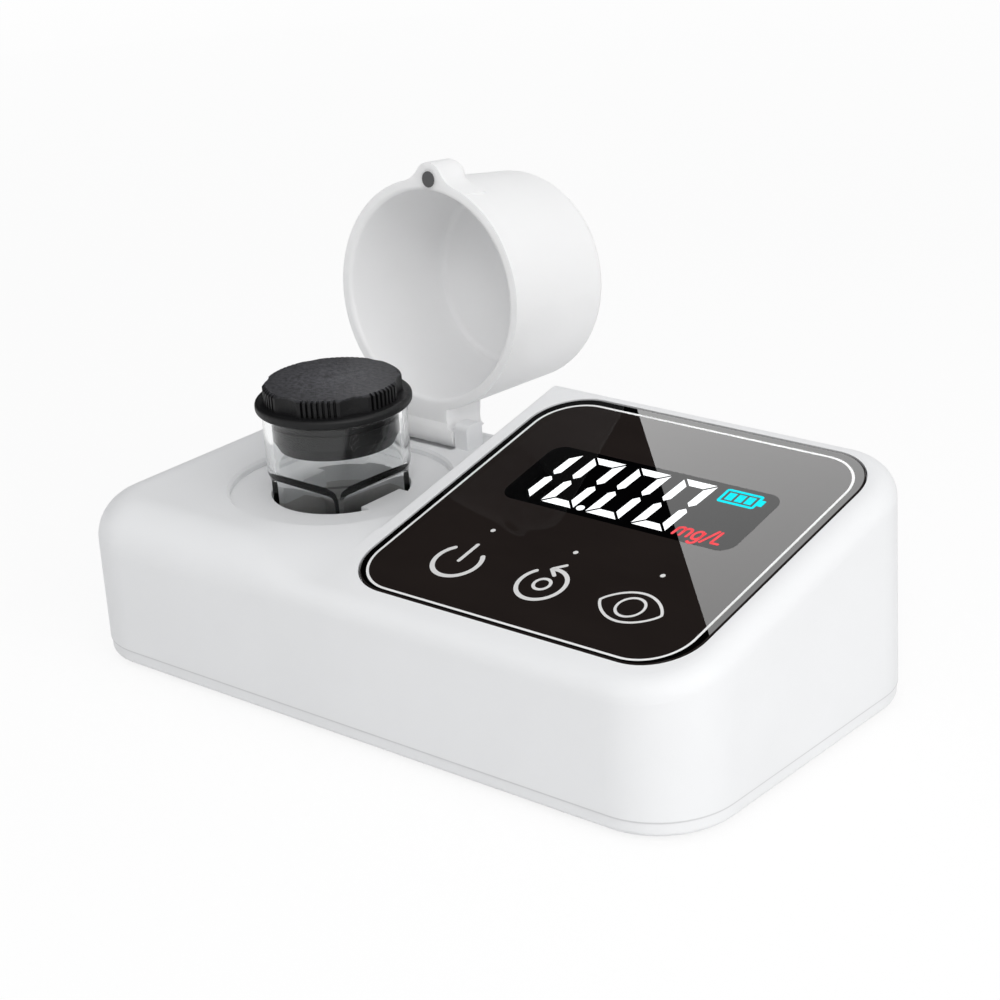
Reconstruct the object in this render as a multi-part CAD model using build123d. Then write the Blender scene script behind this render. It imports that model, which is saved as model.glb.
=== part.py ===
from build123d import *
import os
from math import atan, cos, pi, radians, sin, sqrt, tan

# Portable water quality analyzer, in millimetres.
# X runs along the long front face, Y to the rear, Z up.
# The sizes below are measured from the middle of the housing. The finished part stands on the bench
# with its origin under the middle of its whole length and depth, the open lid included.

# Housing
housing_width = 150.0
housing_depth = 78.5
plan_radius = 15.2
foot_proud = 1.0
deck_rise = 32.5
front_rise = 28.0
panel_slope = 12.7
block_left = -9.5
deck_edge_radius = 9.0
block_edge_radius = 4.2
fold_radius = 0.6
ramp_run = 24.5
ramp_soft = 7.0
ramp_steps = 6
wall = 2.4
block_skin = 4.2

# Base cover
base_floor = 2.8
base_edge_radius = 1.0
base_inset = 0.25
seam_gap = 0.1
lip_height = 3.4
lip_thickness = 1.5
lip_clearance = 0.2

# Screws that join the base to the upper housing
post_inset_x = 12.0
post_inset_y = 10.25
post_diameter = 7.5
post_joint_rise = 8.0
screw_diameter = 2.5
screw_length = 14.0
screw_head_diameter = 5.2
screw_head_height = 2.0
screw_head_sink = 2.0
screw_clearance = 0.3
pilot_clearance = 0.05
hex_size = 1.8
hex_depth = 1.0

# Rubber feet
foot_diameter = 8.0
foot_sink = 0.6
foot_inset_x = 27.0
foot_inset_y = 6.0
foot_clearance = 0.1
foot_edge_radius = 0.4

# Sample well, with the lid seat round its mouth
well_x = -33.2
well_y = -3.0
recess_radius = 22.0
recess_depth = 1.5
recess_chamfer = 0.5
recess_floor = 3.4
recess_rim = 2.0
well_wall = 3.6
well_floor = 2.0
well_flange_width = 3.0
well_flange_height = 2.5
well_base_gap = 0.6
tab_width = 11.0
well_clearance = 0.35
well_screw_diameter = 2.0
well_screw_length = 5.0
well_screw_head_diameter = 3.8
well_screw_head_height = 1.2
well_screw_count = 3
cheek_width = 15.0
cheek_height = 15.0
cheek_reach = 3.2
pad_thickness = 0.5

# Vial
vial_height = 42.6
vial_radius = 14.2
vial_corner_radius = 13.5
vial_half_side = 10.1
vial_square_height = 27.1
vial_shoulder_height = 2.3
vial_shoulder_round = 2.0
vial_wall = 1.6
vial_base = 2.2
vial_foot_chamfer = 0.8
vial_turn = -3.0
rim_round = 0.5

# Stopper of the vial
plug_clearance = 0.15
plug_depth = 7.4
plug_taper = 1.1
plug_taper_height = 2.4
plug_groove_depth = 0.5
plug_groove_height = 0.8
plug_groove_drop = 1.4
plug_hollow_depth = 4.0
plug_wall = 2.2
flange_radius = 15.4
flange_height = 1.9
flange_round = 0.7
flange_seat_gap = 0.05
knob_radius = 13.6
knob_height = 3.5
knob_crown = 0.5
knob_edge = 0.6
grip_count = 6
grip_start_angle = 1.8
scoop_radius = 7.0
scoop_depth = 0.9
groove_count = 7
groove_pitch_angle = 4.6
groove_width = 0.56
groove_depth = 0.8

# Lid cup
cup_height = 31.0
cup_radius = 23.4
cup_top_radius = 21.6
cup_wall = 2.2
cup_top_thickness = 4.2
cup_edge_radius = 3.2
cup_inner_radius = 1.2
cup_rim_round = 0.9
cup_seat_gap = 0.25
open_angle = 96.5

# Magnet catch
boss_reach = 23.45
boss_radius = 3.4
boss_length = 6.0
boss_blend_radius = 6.0
boss_blend_height = 6.5
magnet_diameter = 3.2
magnet_length = 3.0
deck_magnet_diameter = 4.0
deck_magnet_length = 2.5
magnet_skin = 0.8
magnet_clearance = 0.05
magnet_wall = 1.8

# Lid hinge
hinge_y = 24.9
hinge_rise = 2.2
knuckle_radius = 2.9
knuckle_half_width = 7.6
ear_gap = 0.25
ear_thickness = 3.3
ear_half_depth = 2.4
ear_rise = 2.9
ear_corner_radius = 1.2
pocket_margin = 0.9
pocket_depth = 1.4
lug_half_width = 5.25
lug_depth = 10.5
lug_rear_offset = 0.5
lug_corner_radius = 3.0
lug_neck_offset = 0.9
pin_diameter = 2.0
pin_fit = 0.01
pin_running_clearance = 0.06
pin_end_skin = 0.6

# Glass panel on the block
panel_left_margin = 3.6
panel_right_margin = 5.5
panel_length = 68.9
panel_radius = 10.5
panel_along_slope = 40.5
glass_thickness = 1.6
glass_chamfer = 0.2
panel_gap = 0.35
gasket_thickness = 0.3
gasket_inset = 0.5
panel_ledge = 4.5
window_gap = 0.5
touch_board_thickness = 1.0

# Display
display_margin = 7.7
display_length = 23.0
display_thickness = 4.2
display_frame = 1.0
display_up = 8.6
display_gap = 0.3

# Battery bay with three AA cells
cell_diameter = 14.5
cell_length = 50.5
cell_nub_diameter = 5.5
cell_nub_length = 1.0
cell_edge_radius = 0.8
cell_count = 3
cell_pitch = 15.0
cell_clearance = 0.3
bay_inset = 44.0
bay_wall = 1.5
spring_length = 3.4
spring_radius = 3.6
spring_tip_radius = 2.4
dimple_height = 1.4
dimple_radius = 2.2
contact_thickness = 0.4
contact_width = 8.0
contact_height = 9.0

# Battery door
door_thickness = 1.6
door_ledge = 1.6
door_gap = 0.3
door_radius = 2.0
tongue_length = 8.0
tongue_width = 16.0
hook_width = 8.0
hook_offset = 12.0
hook_thickness = 1.4
hook_rise = 2.8
hook_lip_height = 1.3
hook_gap = 0.3
door_groove_count = 5
door_groove_pitch = 2.4
door_groove_depth = 0.5
door_groove_width = 1.0
door_groove_length = 14.0
door_screw_diameter = 2.0
door_screw_length = 8.0
door_screw_head_diameter = 4.4
door_screw_head_height = 1.0
door_boss_height = 8.4
door_boss_diameter = 6.4

# Main board
board_offset = -2.0
board_side = 58.0
board_thickness = 1.6
standoff_height = 1.2
standoff_diameter = 5.0
standoff_x = 25.0
standoff_y = 20.5
board_screw_diameter = 2.0
board_screw_grip = 2.2
board_screw_head_diameter = 3.8
board_screw_head_height = 1.3
beeper_diameter = 9.0
beeper_height = 3.6

# Optics of the sample well
beam_rise = 9.0
aperture_diameter = 4.0
lamp_diameter = 5.0
lamp_length = 5.2
lamp_flange_diameter = 5.8
lamp_flange_thickness = 1.0
lamp_clearance = 0.1
window_diameter = 6.0
window_thickness = 1.0
window_lip = 1.5
optic_board_thickness = 1.6
detector_diameter = 5.4
detector_length = 3.2
pin_row_pitch = 2.54
pin_thickness = 0.6

# Levels and places that follow from the sizes above
base_z = foot_proud
deck_z = base_z + deck_rise
front_z = base_z + front_rise
slope = radians(panel_slope)
meet_y = (deck_z - front_z) / tan(slope) - housing_depth / 2
ramp_left = block_left - ramp_run
post_x = housing_width / 2 - post_inset_x
post_y = housing_depth / 2 - post_inset_y
foot_x = housing_width / 2 - foot_inset_x
foot_y = housing_depth / 2 - foot_inset_y
base_top = base_z + base_floor
seam_z = base_top + seam_gap
post_joint_z = base_z + post_joint_rise
recess_z = deck_z - recess_depth
recess_under_z = recess_z - recess_floor
hinge_z = deck_z + hinge_rise
well_bottom_z = base_top + well_base_gap
pad_z = well_bottom_z + well_floor
vial_z = pad_z + pad_thickness
vial_rim_z = vial_z + vial_height
bore_radius = vial_corner_radius + well_clearance
tab_face = vial_half_side + well_clearance
well_radius = bore_radius + well_wall
beam_z = vial_z + beam_rise
cheek_x = well_radius + cheek_reach
rim_z = deck_z + cup_seat_gap
panel_width = housing_width / 2 - block_left - panel_left_margin - panel_right_margin
panel_x = block_left + panel_left_margin + panel_width / 2
display_width = panel_width - 2 * display_margin
bay_x = housing_width / 2 - bay_inset
board_x = bay_x + board_offset
panel_y = -housing_depth / 2 + panel_along_slope * cos(slope)
bay_length = cell_length + spring_length + dimple_height + 2 * (contact_thickness + cell_clearance / 2)
bay_width = cell_count * cell_pitch + 2 * cell_clearance
door_top_z = base_z + door_thickness
cell_z = door_top_z + cell_clearance + cell_diameter / 2
bay_roof_z = cell_z + cell_diameter / 2 + cell_clearance
bay_top_z = bay_roof_z + bay_wall
board_z = bay_top_z + standoff_height
tall = 4 * deck_rise


def slope_height(y):
    """Height of the block's sloped top over the place y."""
    return front_z + (y + housing_depth / 2) * tan(slope)


panel_plane = Plane(
    origin=(panel_x, panel_y, slope_height(panel_y)), x_dir=(1, 0, 0), z_dir=(0, -sin(slope), cos(slope))
)


def block(x0, x1, y0, y1, z0, z1):
    """Box between two corners."""
    return Pos((x0 + x1) / 2, (y0 + y1) / 2, (z0 + z1) / 2) * Box(x1 - x0, y1 - y0, z1 - z0)


def post(x, y, diameter, z0, z1):
    """Upright cylinder between two heights."""
    size = Cylinder(diameter / 2, z1 - z0, align=(Align.CENTER, Align.CENTER, Align.MIN))
    return Pos(x, y, z0) * size


def bar_x(y, z, radius, x0, x1):
    """Cylinder along X between two places."""
    return Pos((x0 + x1) / 2, y, z) * Rot(0, 90, 0) * Cylinder(radius, x1 - x0)


def corners(x, y):
    """The four places (+-x, +-y)."""
    return [(sx * x, sy * y) for sx in (-1, 1) for sy in (-1, 1)]


def prism(sketch, z0, z1):
    """A sketch raised from one height to another."""
    return extrude(Pos(0, 0, z0) * sketch, amount=z1 - z0)


def plan(inset):
    """Rounded plan of the housing, drawn in by inset."""
    return RectangleRounded(housing_width - 2 * inset, housing_depth - 2 * inset, plan_radius - inset)


def deck_form(inset):
    """Level box under the deck, with the soft edge round its top."""
    body = prism(plan(inset), base_z - inset, deck_z - inset)
    top = body.faces().sort_by(Axis.Z)[-1]
    return fillet(top.edges(), deck_edge_radius - inset)


def block_form(inset, skin):
    """Wedge block that carries the glass panel, its top inset by skin."""
    left = block_left + inset
    right = housing_width / 2 - inset
    rear = housing_depth / 2 - inset
    drop = skin / cos(slope)
    low = base_z - inset
    rear_top = slope_height(rear) - drop
    front_top = slope_height(-rear) - drop
    outline = Polyline((-rear, low), (rear, low), (rear, rear_top), (-rear, front_top), close=True)
    wedge = extrude(Plane.YZ.offset(left) * make_face(outline), amount=right - left)
    body = prism(plan(inset), low, tall) & wedge
    top = body.faces().sort_by(Axis.Z)[-1]
    edges = [edge for edge in top.edges() if edge.center().X > left + fold_radius]
    return fillet(edges, block_edge_radius - inset)


def fold_cutter():
    """What rounds the fold along the block's left top edge, where the block stands above the deck."""
    fold_plane = Plane(
        origin=(block_left, 0, slope_height(0)), x_dir=(1, 0, 0), z_dir=(0, -sin(slope), cos(slope))
    )
    margin = fold_radius / 4
    corner = block(-margin, fold_radius, meet_y + 2 * fold_radius, housing_depth, -fold_radius, margin)
    rounding = Pos(fold_radius, 0, -fold_radius) * Rot(90, 0, 0) * Cylinder(fold_radius, 2 * housing_depth + 2)
    return fold_plane * (corner - rounding)


def ramp_section(x, share, inset):
    """Section of the ramp at one x. With share 0 it is the deck's own section, with share 1 its
    front part lies level with the block's slope and has the block's edge radius."""
    rear = housing_depth / 2 - inset
    low = base_z - inset
    top = deck_z - inset
    edge = deck_edge_radius - inset
    rise = share * tan(slope)
    turn = atan(rise)
    radius = edge + share * (block_edge_radius - deck_edge_radius)
    centre_y = radius - rear
    centre_z = deck_z + (centre_y - meet_y) * rise - (inset + radius) / cos(turn)
    middle = (pi / 2 - turn) / 2
    start = (centre_y - radius * sin(turn), centre_z + radius * cos(turn))
    end = (meet_y + ramp_soft, top)
    third = (end[0] - start[0]) / 3
    corner = edge * sin(pi / 4)
    outline = ThreePointArc(
        (-rear, centre_z), (centre_y - radius * cos(middle), centre_z + radius * sin(middle)), start
    )
    outline += Bezier(start, (start[0] + third, start[1] + third * rise), (end[0] - third, top), end)
    outline += Line(end, (rear - edge, top))
    outline += ThreePointArc(
        (rear - edge, top), (rear - edge + corner, top - edge + corner), (rear, top - edge)
    )
    outline += Line((rear, top - edge), (rear, low))
    outline += Line((rear, low), (-rear, low))
    outline += Line((-rear, low), (-rear, centre_z))
    return Plane.YZ.offset(x) * make_face(outline)


def ramp_form(inset, end_x):
    """Soft ramp that leads the deck's front part down to the block, ending at end_x."""
    sections = []
    for i in range(ramp_steps + 1):
        way = i / ramp_steps
        share = way * way * (3 - 2 * way)
        sections.append(ramp_section(ramp_left + way * ramp_run, share, inset))
    if end_x > block_left:
        sections.append(ramp_section(end_x, 1, inset))
    return loft(sections)


def housing_form(inset, skin):
    """The closed form of the whole housing, drawn in by inset and, on the block's top, by skin."""
    left_side = block(-housing_width, ramp_left, -housing_depth, housing_depth, -tall, tall)
    deck = (deck_form(inset) & left_side) + ramp_form(inset, block_left + inset)
    body = block_form(inset, skin)
    if inset == 0:
        body -= fold_cutter()
    return body + deck


def well_outline():
    """The round mouth of the well with its two flat tabs."""
    outline = Circle(bore_radius)
    for side in (-1, 1):
        reach = bore_radius - tab_face
        outline -= Pos(side * (tab_face + reach), 0) * Rectangle(2 * reach, tab_width)
    return Pos(well_x, well_y) * outline


def ear(x0, x1):
    """One hinge ear, an upright block with rounded top edges."""
    low = deck_z - wall / 2
    body = block(x0, x1, hinge_y - ear_half_depth, hinge_y + ear_half_depth, low, hinge_z + ear_rise)
    top = body.faces().sort_by(Axis.Z)[-1]
    return fillet(top.edges().filter_by(Axis.X), ear_corner_radius)


def make_upper_housing():
    outer = housing_form(0, 0)
    above_seam = block(-housing_width, housing_width, -housing_depth, housing_depth, seam_z, tall)
    body = (outer - housing_form(wall, block_skin)) & above_seam

    # Thick ring under the lid seat, and the boss over the deck magnet
    inside = post(well_x, well_y, 2 * (recess_radius + recess_rim), recess_under_z, deck_z - wall / 2)
    boss_y = well_y - boss_reach
    boss_diameter = deck_magnet_diameter + 2 * magnet_wall
    inside += post(well_x, boss_y, boss_diameter, recess_under_z, deck_z - wall / 2)
    for x, y in corners(post_x, post_y):
        inside += post(x, y, post_diameter, post_joint_z, tall)
    body += inside & outer

    # Lid seat, mouth of the well and clearance for the hinge knuckle
    seat = post(well_x, well_y, 2 * recess_radius, recess_z, tall)
    flare = Cone(recess_radius, recess_radius + 2 * recess_chamfer, 2 * recess_chamfer)
    seat += Pos(well_x, well_y, deck_z) * flare
    body -= seat
    body -= prism(well_outline(), recess_under_z - wall, tall)
    ear_x = knuckle_half_width + ear_gap
    reach = knuckle_radius + pocket_margin
    body -= block(well_x - ear_x, well_x + ear_x, hinge_y - reach, hinge_y + reach, deck_z - pocket_depth, tall)
    for x0, x1 in ((-ear_x - ear_thickness, -ear_x), (ear_x, ear_x + ear_thickness)):
        body += ear(well_x + x0, well_x + x1)
    pin_end = ear_x + ear_thickness - pin_end_skin
    pin_start = ear_x + 2 * ear_thickness
    body -= bar_x(hinge_y, hinge_z, pin_diameter / 2 + pin_fit, well_x - pin_start, well_x + pin_end)

    # Pocket for the deck magnet, pilot holes for the screws
    hole = deck_magnet_diameter + 2 * magnet_clearance
    body -= post(well_x, boss_y, hole, recess_under_z - wall, recess_z - magnet_skin)
    for x, y in corners(post_x, post_y):
        pilot = screw_diameter + 2 * pilot_clearance
        body -= post(x, y, pilot, seam_z, base_z + screw_head_sink + screw_head_height + screw_length + wall / 2)
    for x, y in well_screw_places():
        pilot = well_screw_diameter + 2 * pilot_clearance
        body -= post(x, y, pilot, recess_under_z - wall, recess_under_z + well_screw_grip() + wall / 8)

    # Pocket and window for the glass panel
    pocket = RectangleRounded(panel_width + 2 * panel_gap, panel_length + 2 * panel_gap, panel_radius + panel_gap)
    body -= panel_plane * extrude(pocket, amount=-(glass_thickness + gasket_thickness))
    body -= panel_plane * extrude(window_outline(0), amount=-3 * block_skin)
    return body


def window_outline(inset):
    """The opening under the glass, drawn in by inset."""
    edge = 2 * (panel_ledge + inset)
    return RectangleRounded(panel_width - edge, panel_length - edge, panel_radius - panel_ledge - inset)


def bay_corners():
    """Inner limits of the battery bay."""
    return bay_x - bay_length / 2, bay_x + bay_length / 2, -bay_width / 2, bay_width / 2


def door_outline(gap):
    """Plan of the battery door with its screw tongue, drawn in by gap."""
    x0, x1, y0, y1 = bay_corners()
    width = x1 - x0 + 2 * (door_ledge - gap)
    outline = Pos(bay_x, 0) * RectangleRounded(width, y1 - y0 + 2 * (door_ledge - gap), door_radius)
    reach = 2 * (x1 + door_ledge + tongue_length - bay_x - gap)
    tongue = Pos(bay_x, 0) * RectangleRounded(reach, tongue_width - 2 * gap, door_radius)
    right_side = Pos(bay_x + housing_width / 2, 0) * Rectangle(housing_width, housing_depth)
    return outline + (tongue & right_side)


def door_screw_x():
    return bay_corners()[1] + door_ledge + tongue_length / 2


def hooks(gap, x0, x1, z0, z1):
    """Places of the two door hooks, widened by gap."""
    body = Part()
    for side in (-1, 1):
        y = side * hook_offset
        half = hook_width / 2 + gap
        body += block(x0, x1, y - half, y + half, z0, z1)
    return body


def make_base_cover():
    body = prism(plan(base_inset), base_z, base_top)
    body = fillet(body.faces().sort_by(Axis.Z)[0].edges(), base_edge_radius)
    lip_outer = wall + lip_clearance
    lip = plan(lip_outer) - plan(lip_outer + lip_thickness)
    body += prism(lip, base_top - wall / 2, base_top + lip_height)
    x0, x1, y0, y1 = bay_corners()
    body += block(x0 - bay_wall, x1 + bay_wall, y0 - bay_wall, y1 + bay_wall, base_top - wall / 2, bay_top_z)
    for x, y in corners(post_x, post_y):
        body += post(x, y, post_diameter, base_top - wall / 2, post_joint_z)
    for x, y in board_screw_places():
        body += post(x, y, standoff_diameter, bay_top_z - bay_wall / 2, board_z)
    body += post(door_screw_x(), 0, door_boss_diameter, door_top_z, door_top_z + door_boss_height)

    # Battery bay, rebate of its door and slots for the door's hooks
    body -= block(x0, x1, y0, y1, base_z - wall, bay_roof_z)
    body -= prism(door_outline(0), base_z - wall, door_top_z)
    slot_top = door_top_z + hook_rise + hook_gap
    body -= hooks(hook_gap, x0 - 2 * bay_wall, x0 + bay_wall, base_top, slot_top)

    # Holes for the screws and seats for the feet
    for x, y in corners(post_x, post_y):
        seat_z = base_z + screw_head_sink + screw_head_height
        body -= post(x, y, screw_head_diameter + 2 * screw_clearance, base_z - wall, seat_z)
        body -= post(x, y, screw_diameter + screw_clearance, base_z, post_joint_z + wall)
    for x, y in board_screw_places():
        body -= post(x, y, board_screw_diameter + 2 * pilot_clearance, board_z - board_screw_grip - wall / 8, tall)
    pilot = door_screw_diameter + 2 * pilot_clearance
    body -= post(door_screw_x(), 0, pilot, base_z, base_z + door_screw_head_height + door_screw_length + wall / 4)
    for x, y in corners(foot_x, foot_y):
        body -= post(x, y, foot_diameter + 2 * foot_clearance, base_z - wall, base_z + foot_sink)
    return body


def make_battery_door():
    x0 = bay_corners()[0]
    body = prism(door_outline(door_gap), base_z, door_top_z)
    upright_x = x0 + hook_gap
    lip_z = door_top_z + hook_rise - hook_lip_height
    hook_z = door_top_z + hook_rise
    body += hooks(0, upright_x, upright_x + hook_thickness, door_top_z - door_thickness / 2, hook_z)
    lip_reach = bay_wall - hook_gap
    body += hooks(0, x0 - lip_reach, upright_x + hook_thickness / 2, lip_z, hook_z)
    for i in range(door_groove_count):
        x = door_screw_x() - tongue_length - i * door_groove_pitch
        half = door_groove_length / 2
        width = door_groove_width / 2
        body -= block(x - width, x + width, -half, half, base_z - wall, base_z + door_groove_depth)
    head = door_screw_head_diameter + screw_clearance
    body -= post(door_screw_x(), 0, head, base_z - wall, base_z + door_screw_head_height)
    body -= post(door_screw_x(), 0, door_screw_diameter + screw_clearance, base_z, tall)
    return body


def screw(x, y, z, diameter, length, head_diameter, head_height, up):
    """Screw with its seat at z, its shank along up (+1 or -1) and a hex socket in its head."""
    size = 2 * hex_size / sqrt(3)
    shank = Cylinder(diameter / 2, length, align=(Align.CENTER, Align.CENTER, Align.MIN))
    head = Cylinder(head_diameter / 2, head_height, align=(Align.CENTER, Align.CENTER, Align.MAX))
    depth = min(hex_depth, head_height / 2)
    socket = extrude(Pos(0, 0, -head_height) * RegularPolygon(size / 2, 6), amount=depth)
    turn = Rot(0, 0, 0) if up > 0 else Rot(180, 0, 0)
    return Pos(x, y, z) * turn * (shank + head - socket)


def make_housing_screws():
    seat_z = base_z + screw_head_sink + screw_head_height
    return [
        screw(x, y, seat_z, screw_diameter, screw_length, screw_head_diameter, screw_head_height, 1)
        for x, y in corners(post_x, post_y)
    ]


def make_battery_door_screw():
    seat_z = base_z + door_screw_head_height
    return screw(
        door_screw_x(), 0, seat_z, door_screw_diameter, door_screw_length,
        door_screw_head_diameter, door_screw_head_height, 1
    )


def make_rubber_feet():
    feet = []
    for x, y in corners(foot_x, foot_y):
        foot = post(x, y, foot_diameter, base_z - foot_proud, base_z + foot_sink)
        feet.append(fillet(foot.faces().sort_by(Axis.Z)[0].edges(), foot_edge_radius))
    return feet


def cell_places():
    """Y place and direction of the plus end of each cell."""
    middle = (cell_count - 1) / 2
    return [((i - middle) * cell_pitch, 1 if i % 2 == 0 else -1) for i in range(cell_count)]


def make_battery_cells():
    cells = []
    for y, plus in cell_places():
        body = Rot(0, 90, 0) * Cylinder(cell_diameter / 2, cell_length - cell_nub_length)
        body = fillet(body.edges(), cell_edge_radius)
        nub_x = plus * (cell_length - cell_nub_length) / 2
        body += Pos(nub_x, 0, 0) * Rot(0, 90, 0) * Cylinder(cell_nub_diameter / 2, 2 * cell_nub_length)
        plus_tip = bay_length / 2 - contact_thickness - cell_clearance / 2 - dimple_height
        shift = plus * (plus_tip - cell_length / 2 - cell_nub_length / 2)
        cells.append(Pos(bay_x + shift, y, cell_z) * body)
    return cells


def contact_plate(end, y0, y1):
    """Plate on one end wall of the bay, from y0 to y1."""
    face = bay_x + end * (bay_length / 2 - cell_clearance / 4)
    inner = face - end * contact_thickness
    half = contact_height / 2
    x0, x1 = min(face, inner), max(face, inner)
    return block(x0, x1, y0 - contact_width / 2, y1 + contact_width / 2, cell_z - half, cell_z + half)


def make_battery_contacts():
    contacts = []
    places = cell_places()
    for end in (-1, 1):
        groups = ((0, 0), (1, 2)) if end > 0 else ((0, 1), (2, 2))
        for first, last in groups:
            plate = contact_plate(end, places[first][0], places[last][0])
            for y, plus in places[first:last + 1]:
                spring = plus != end
                length = spring_length if spring else dimple_height
                wide = spring_radius if spring else dimple_radius
                tip = spring_tip_radius if spring else dimple_radius / 2
                x = bay_x + end * (bay_length / 2 - contact_thickness - cell_clearance / 4)
                cone = Cone(wide, tip, length, align=(Align.CENTER, Align.CENTER, Align.MIN))
                plate += Pos(x, y, cell_z) * Rot(0, -90 * end, 0) * cone
            contacts.append(plate)
    return contacts


def board_screw_places():
    return [(board_x + x, y) for x, y in corners(standoff_x, standoff_y)]


def make_main_board():
    body = Pos(board_x, 0, board_z + board_thickness / 2) * Box(board_side, board_side, board_thickness)
    body = chamfer(body.edges().filter_by(Axis.Z), 2 * board_thickness)
    for x, y in board_screw_places():
        body -= post(x, y, board_screw_diameter + screw_clearance, board_z - wall, tall)
    return body


def make_board_components():
    """Chips, connectors and the beeper on the main board. Place and plan are shares of the board's
    side, heights are counted in board thicknesses: x, y, length, width, height."""
    top = board_z + board_thickness
    shares = (
        (0.0, 0.07, 0.17, 0.17, 0.75),
        (-0.26, 0.14, 0.10, 0.09, 0.95),
        (0.24, 0.17, 0.09, 0.10, 0.95),
        (-0.38, -0.14, 0.09, 0.21, 1.9),
        (0.10, -0.35, 0.24, 0.09, 1.75),
        (0.29, -0.10, 0.12, 0.07, 1.25),
    )
    parts = []
    for x, y, length, width, height in shares:
        centre_x = board_x + x * board_side
        centre_y = y * board_side
        half_x = length * board_side / 2
        half_y = width * board_side / 2
        parts.append(
            block(
                centre_x - half_x, centre_x + half_x, centre_y - half_y, centre_y + half_y,
                top, top + height * board_thickness
            )
        )
    parts.append(post(board_x - board_side / 5, -board_side / 4, beeper_diameter, top, top + beeper_height))
    return parts


def make_board_screws():
    top = board_z + board_thickness
    return [
        screw(
            x, y, top, board_screw_diameter, board_thickness + board_screw_grip,
            board_screw_head_diameter, board_screw_head_height, -1
        )
        for x, y in board_screw_places()
    ]


def make_front_glass():
    body = extrude(RectangleRounded(panel_width, panel_length, panel_radius), amount=-glass_thickness)
    top = body.faces().sort_by(Axis.Z)[-1]
    return panel_plane * chamfer(top.edges(), glass_chamfer)


def make_panel_gasket():
    edge = 2 * gasket_inset
    ring = RectangleRounded(panel_width - edge, panel_length - edge, panel_radius - gasket_inset)
    body = extrude(ring - window_outline(0), amount=-gasket_thickness)
    return panel_plane * Pos(0, 0, -glass_thickness) * body


def make_touch_board():
    opening = Pos(0, display_up) * Rectangle(display_width + 2 * display_gap, display_length + 2 * display_gap)
    body = extrude(window_outline(window_gap) - opening, amount=-touch_board_thickness)
    return panel_plane * Pos(0, 0, -glass_thickness) * body


def make_display_module():
    """Display glass in its frame, with a backlight step behind."""
    body = extrude(Rectangle(display_width, display_length), amount=-display_thickness)
    body = fillet(body.edges().filter_by(Axis.Z), display_frame)
    step = display_thickness / 2
    cut = Rectangle(display_width, display_length) - Rectangle(
        display_width - 4 * display_frame, display_length - 2 * display_frame
    )
    body -= Pos(0, 0, -step) * extrude(cut, amount=-display_thickness)
    return panel_plane * Pos(0, display_up, -glass_thickness) * body


def well_screw_grip():
    return well_screw_length - well_flange_height


def well_screw_places():
    radius = well_radius + well_flange_width / 2 + well_screw_diameter / 4
    turns = [90 + 360 * i / well_screw_count for i in range(well_screw_count)]
    return [(well_x + radius * cos(radians(a)), well_y + radius * sin(radians(a))) for a in turns]


def make_sample_well():
    """Black holder under the deck: a round bore with two flats, and a cheek on each side of the beam."""
    body = post(well_x, well_y, 2 * well_radius, well_bottom_z, recess_under_z)
    flange_z = recess_under_z - well_flange_height
    body += post(well_x, well_y, 2 * (well_radius + well_flange_width), flange_z, recess_under_z)
    for x, y in well_screw_places():
        body += post(x, y, 2 * well_flange_width, flange_z, recess_under_z)
    half = cheek_width / 2
    low = beam_z - cheek_height / 2
    body += block(well_x - cheek_x, well_x + cheek_x, well_y - half, well_y + half, low, low + cheek_height)
    body -= prism(well_outline(), pad_z, tall)
    lip = tab_face + window_lip
    for side in (-1, 1):
        start, end = sorted((well_x, well_x + side * 2 * cheek_x))
        body -= bar_x(well_y, beam_z, aperture_diameter / 2, start, end)
        start, end = sorted((well_x + side * lip, well_x + side * 2 * cheek_x))
        body -= bar_x(well_y, beam_z, window_diameter / 2 + lamp_clearance, start, end)
    for x, y in well_screw_places():
        body -= post(x, y, well_screw_diameter + screw_clearance, flange_z - wall, tall)
    return body


def make_well_pad():
    return post(well_x, well_y, 2 * vial_half_side - 2 * well_clearance, pad_z, vial_z)


def make_well_screws():
    seat_z = recess_under_z - well_flange_height
    return [
        screw(
            x, y, seat_z, well_screw_diameter, well_screw_length - wall / 4,
            well_screw_head_diameter, well_screw_head_height, 1
        )
        for x, y in well_screw_places()
    ]


def make_well_windows():
    lip = tab_face + window_lip
    windows = []
    for side in (-1, 1):
        x0, x1 = sorted((well_x + side * lip, well_x + side * (lip + window_thickness)))
        windows.append(bar_x(well_y, beam_z, window_diameter / 2, x0, x1))
    return windows


def optic(side, diameter, length, domed):
    """Lamp or detector in its cheek: flange against the board, body towards the window."""
    back = well_x + side * cheek_x
    flange = back - side * lamp_flange_thickness
    tip = back - side * length
    body = bar_x(well_y, beam_z, lamp_flange_diameter / 2, *sorted((back, flange)))
    if domed:
        body += bar_x(well_y, beam_z, diameter / 2, *sorted((back, tip + side * diameter / 2)))
        body += Pos(tip + side * diameter / 2, well_y, beam_z) * Sphere(diameter / 2)
    else:
        body += bar_x(well_y, beam_z, diameter / 2, *sorted((back, tip)))
    return body


def optic_board(side):
    """Small upright board on the cheek's face, with its row of pins."""
    back = well_x + side * cheek_x
    face = back + side * optic_board_thickness
    half = cheek_width / 2
    low = beam_z - cheek_height / 2
    x0, x1 = sorted((back, face))
    body = block(x0, x1, well_y - half, well_y + half, low, low + cheek_height)
    body = fillet(body.edges().filter_by(Axis.X), optic_board_thickness / 2)
    x0, x1 = sorted((face - side * optic_board_thickness / 2, face + side * pin_row_pitch))
    for i in (-1, 0, 1):
        y = well_y + i * pin_row_pitch
        z = low + pin_row_pitch
        half_pin = pin_thickness / 2
        body += block(x0, x1, y - half_pin, y + half_pin, z - half_pin, z + half_pin)
    return body


def make_light_source():
    return optic(-1, lamp_diameter, lamp_length, True)


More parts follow.
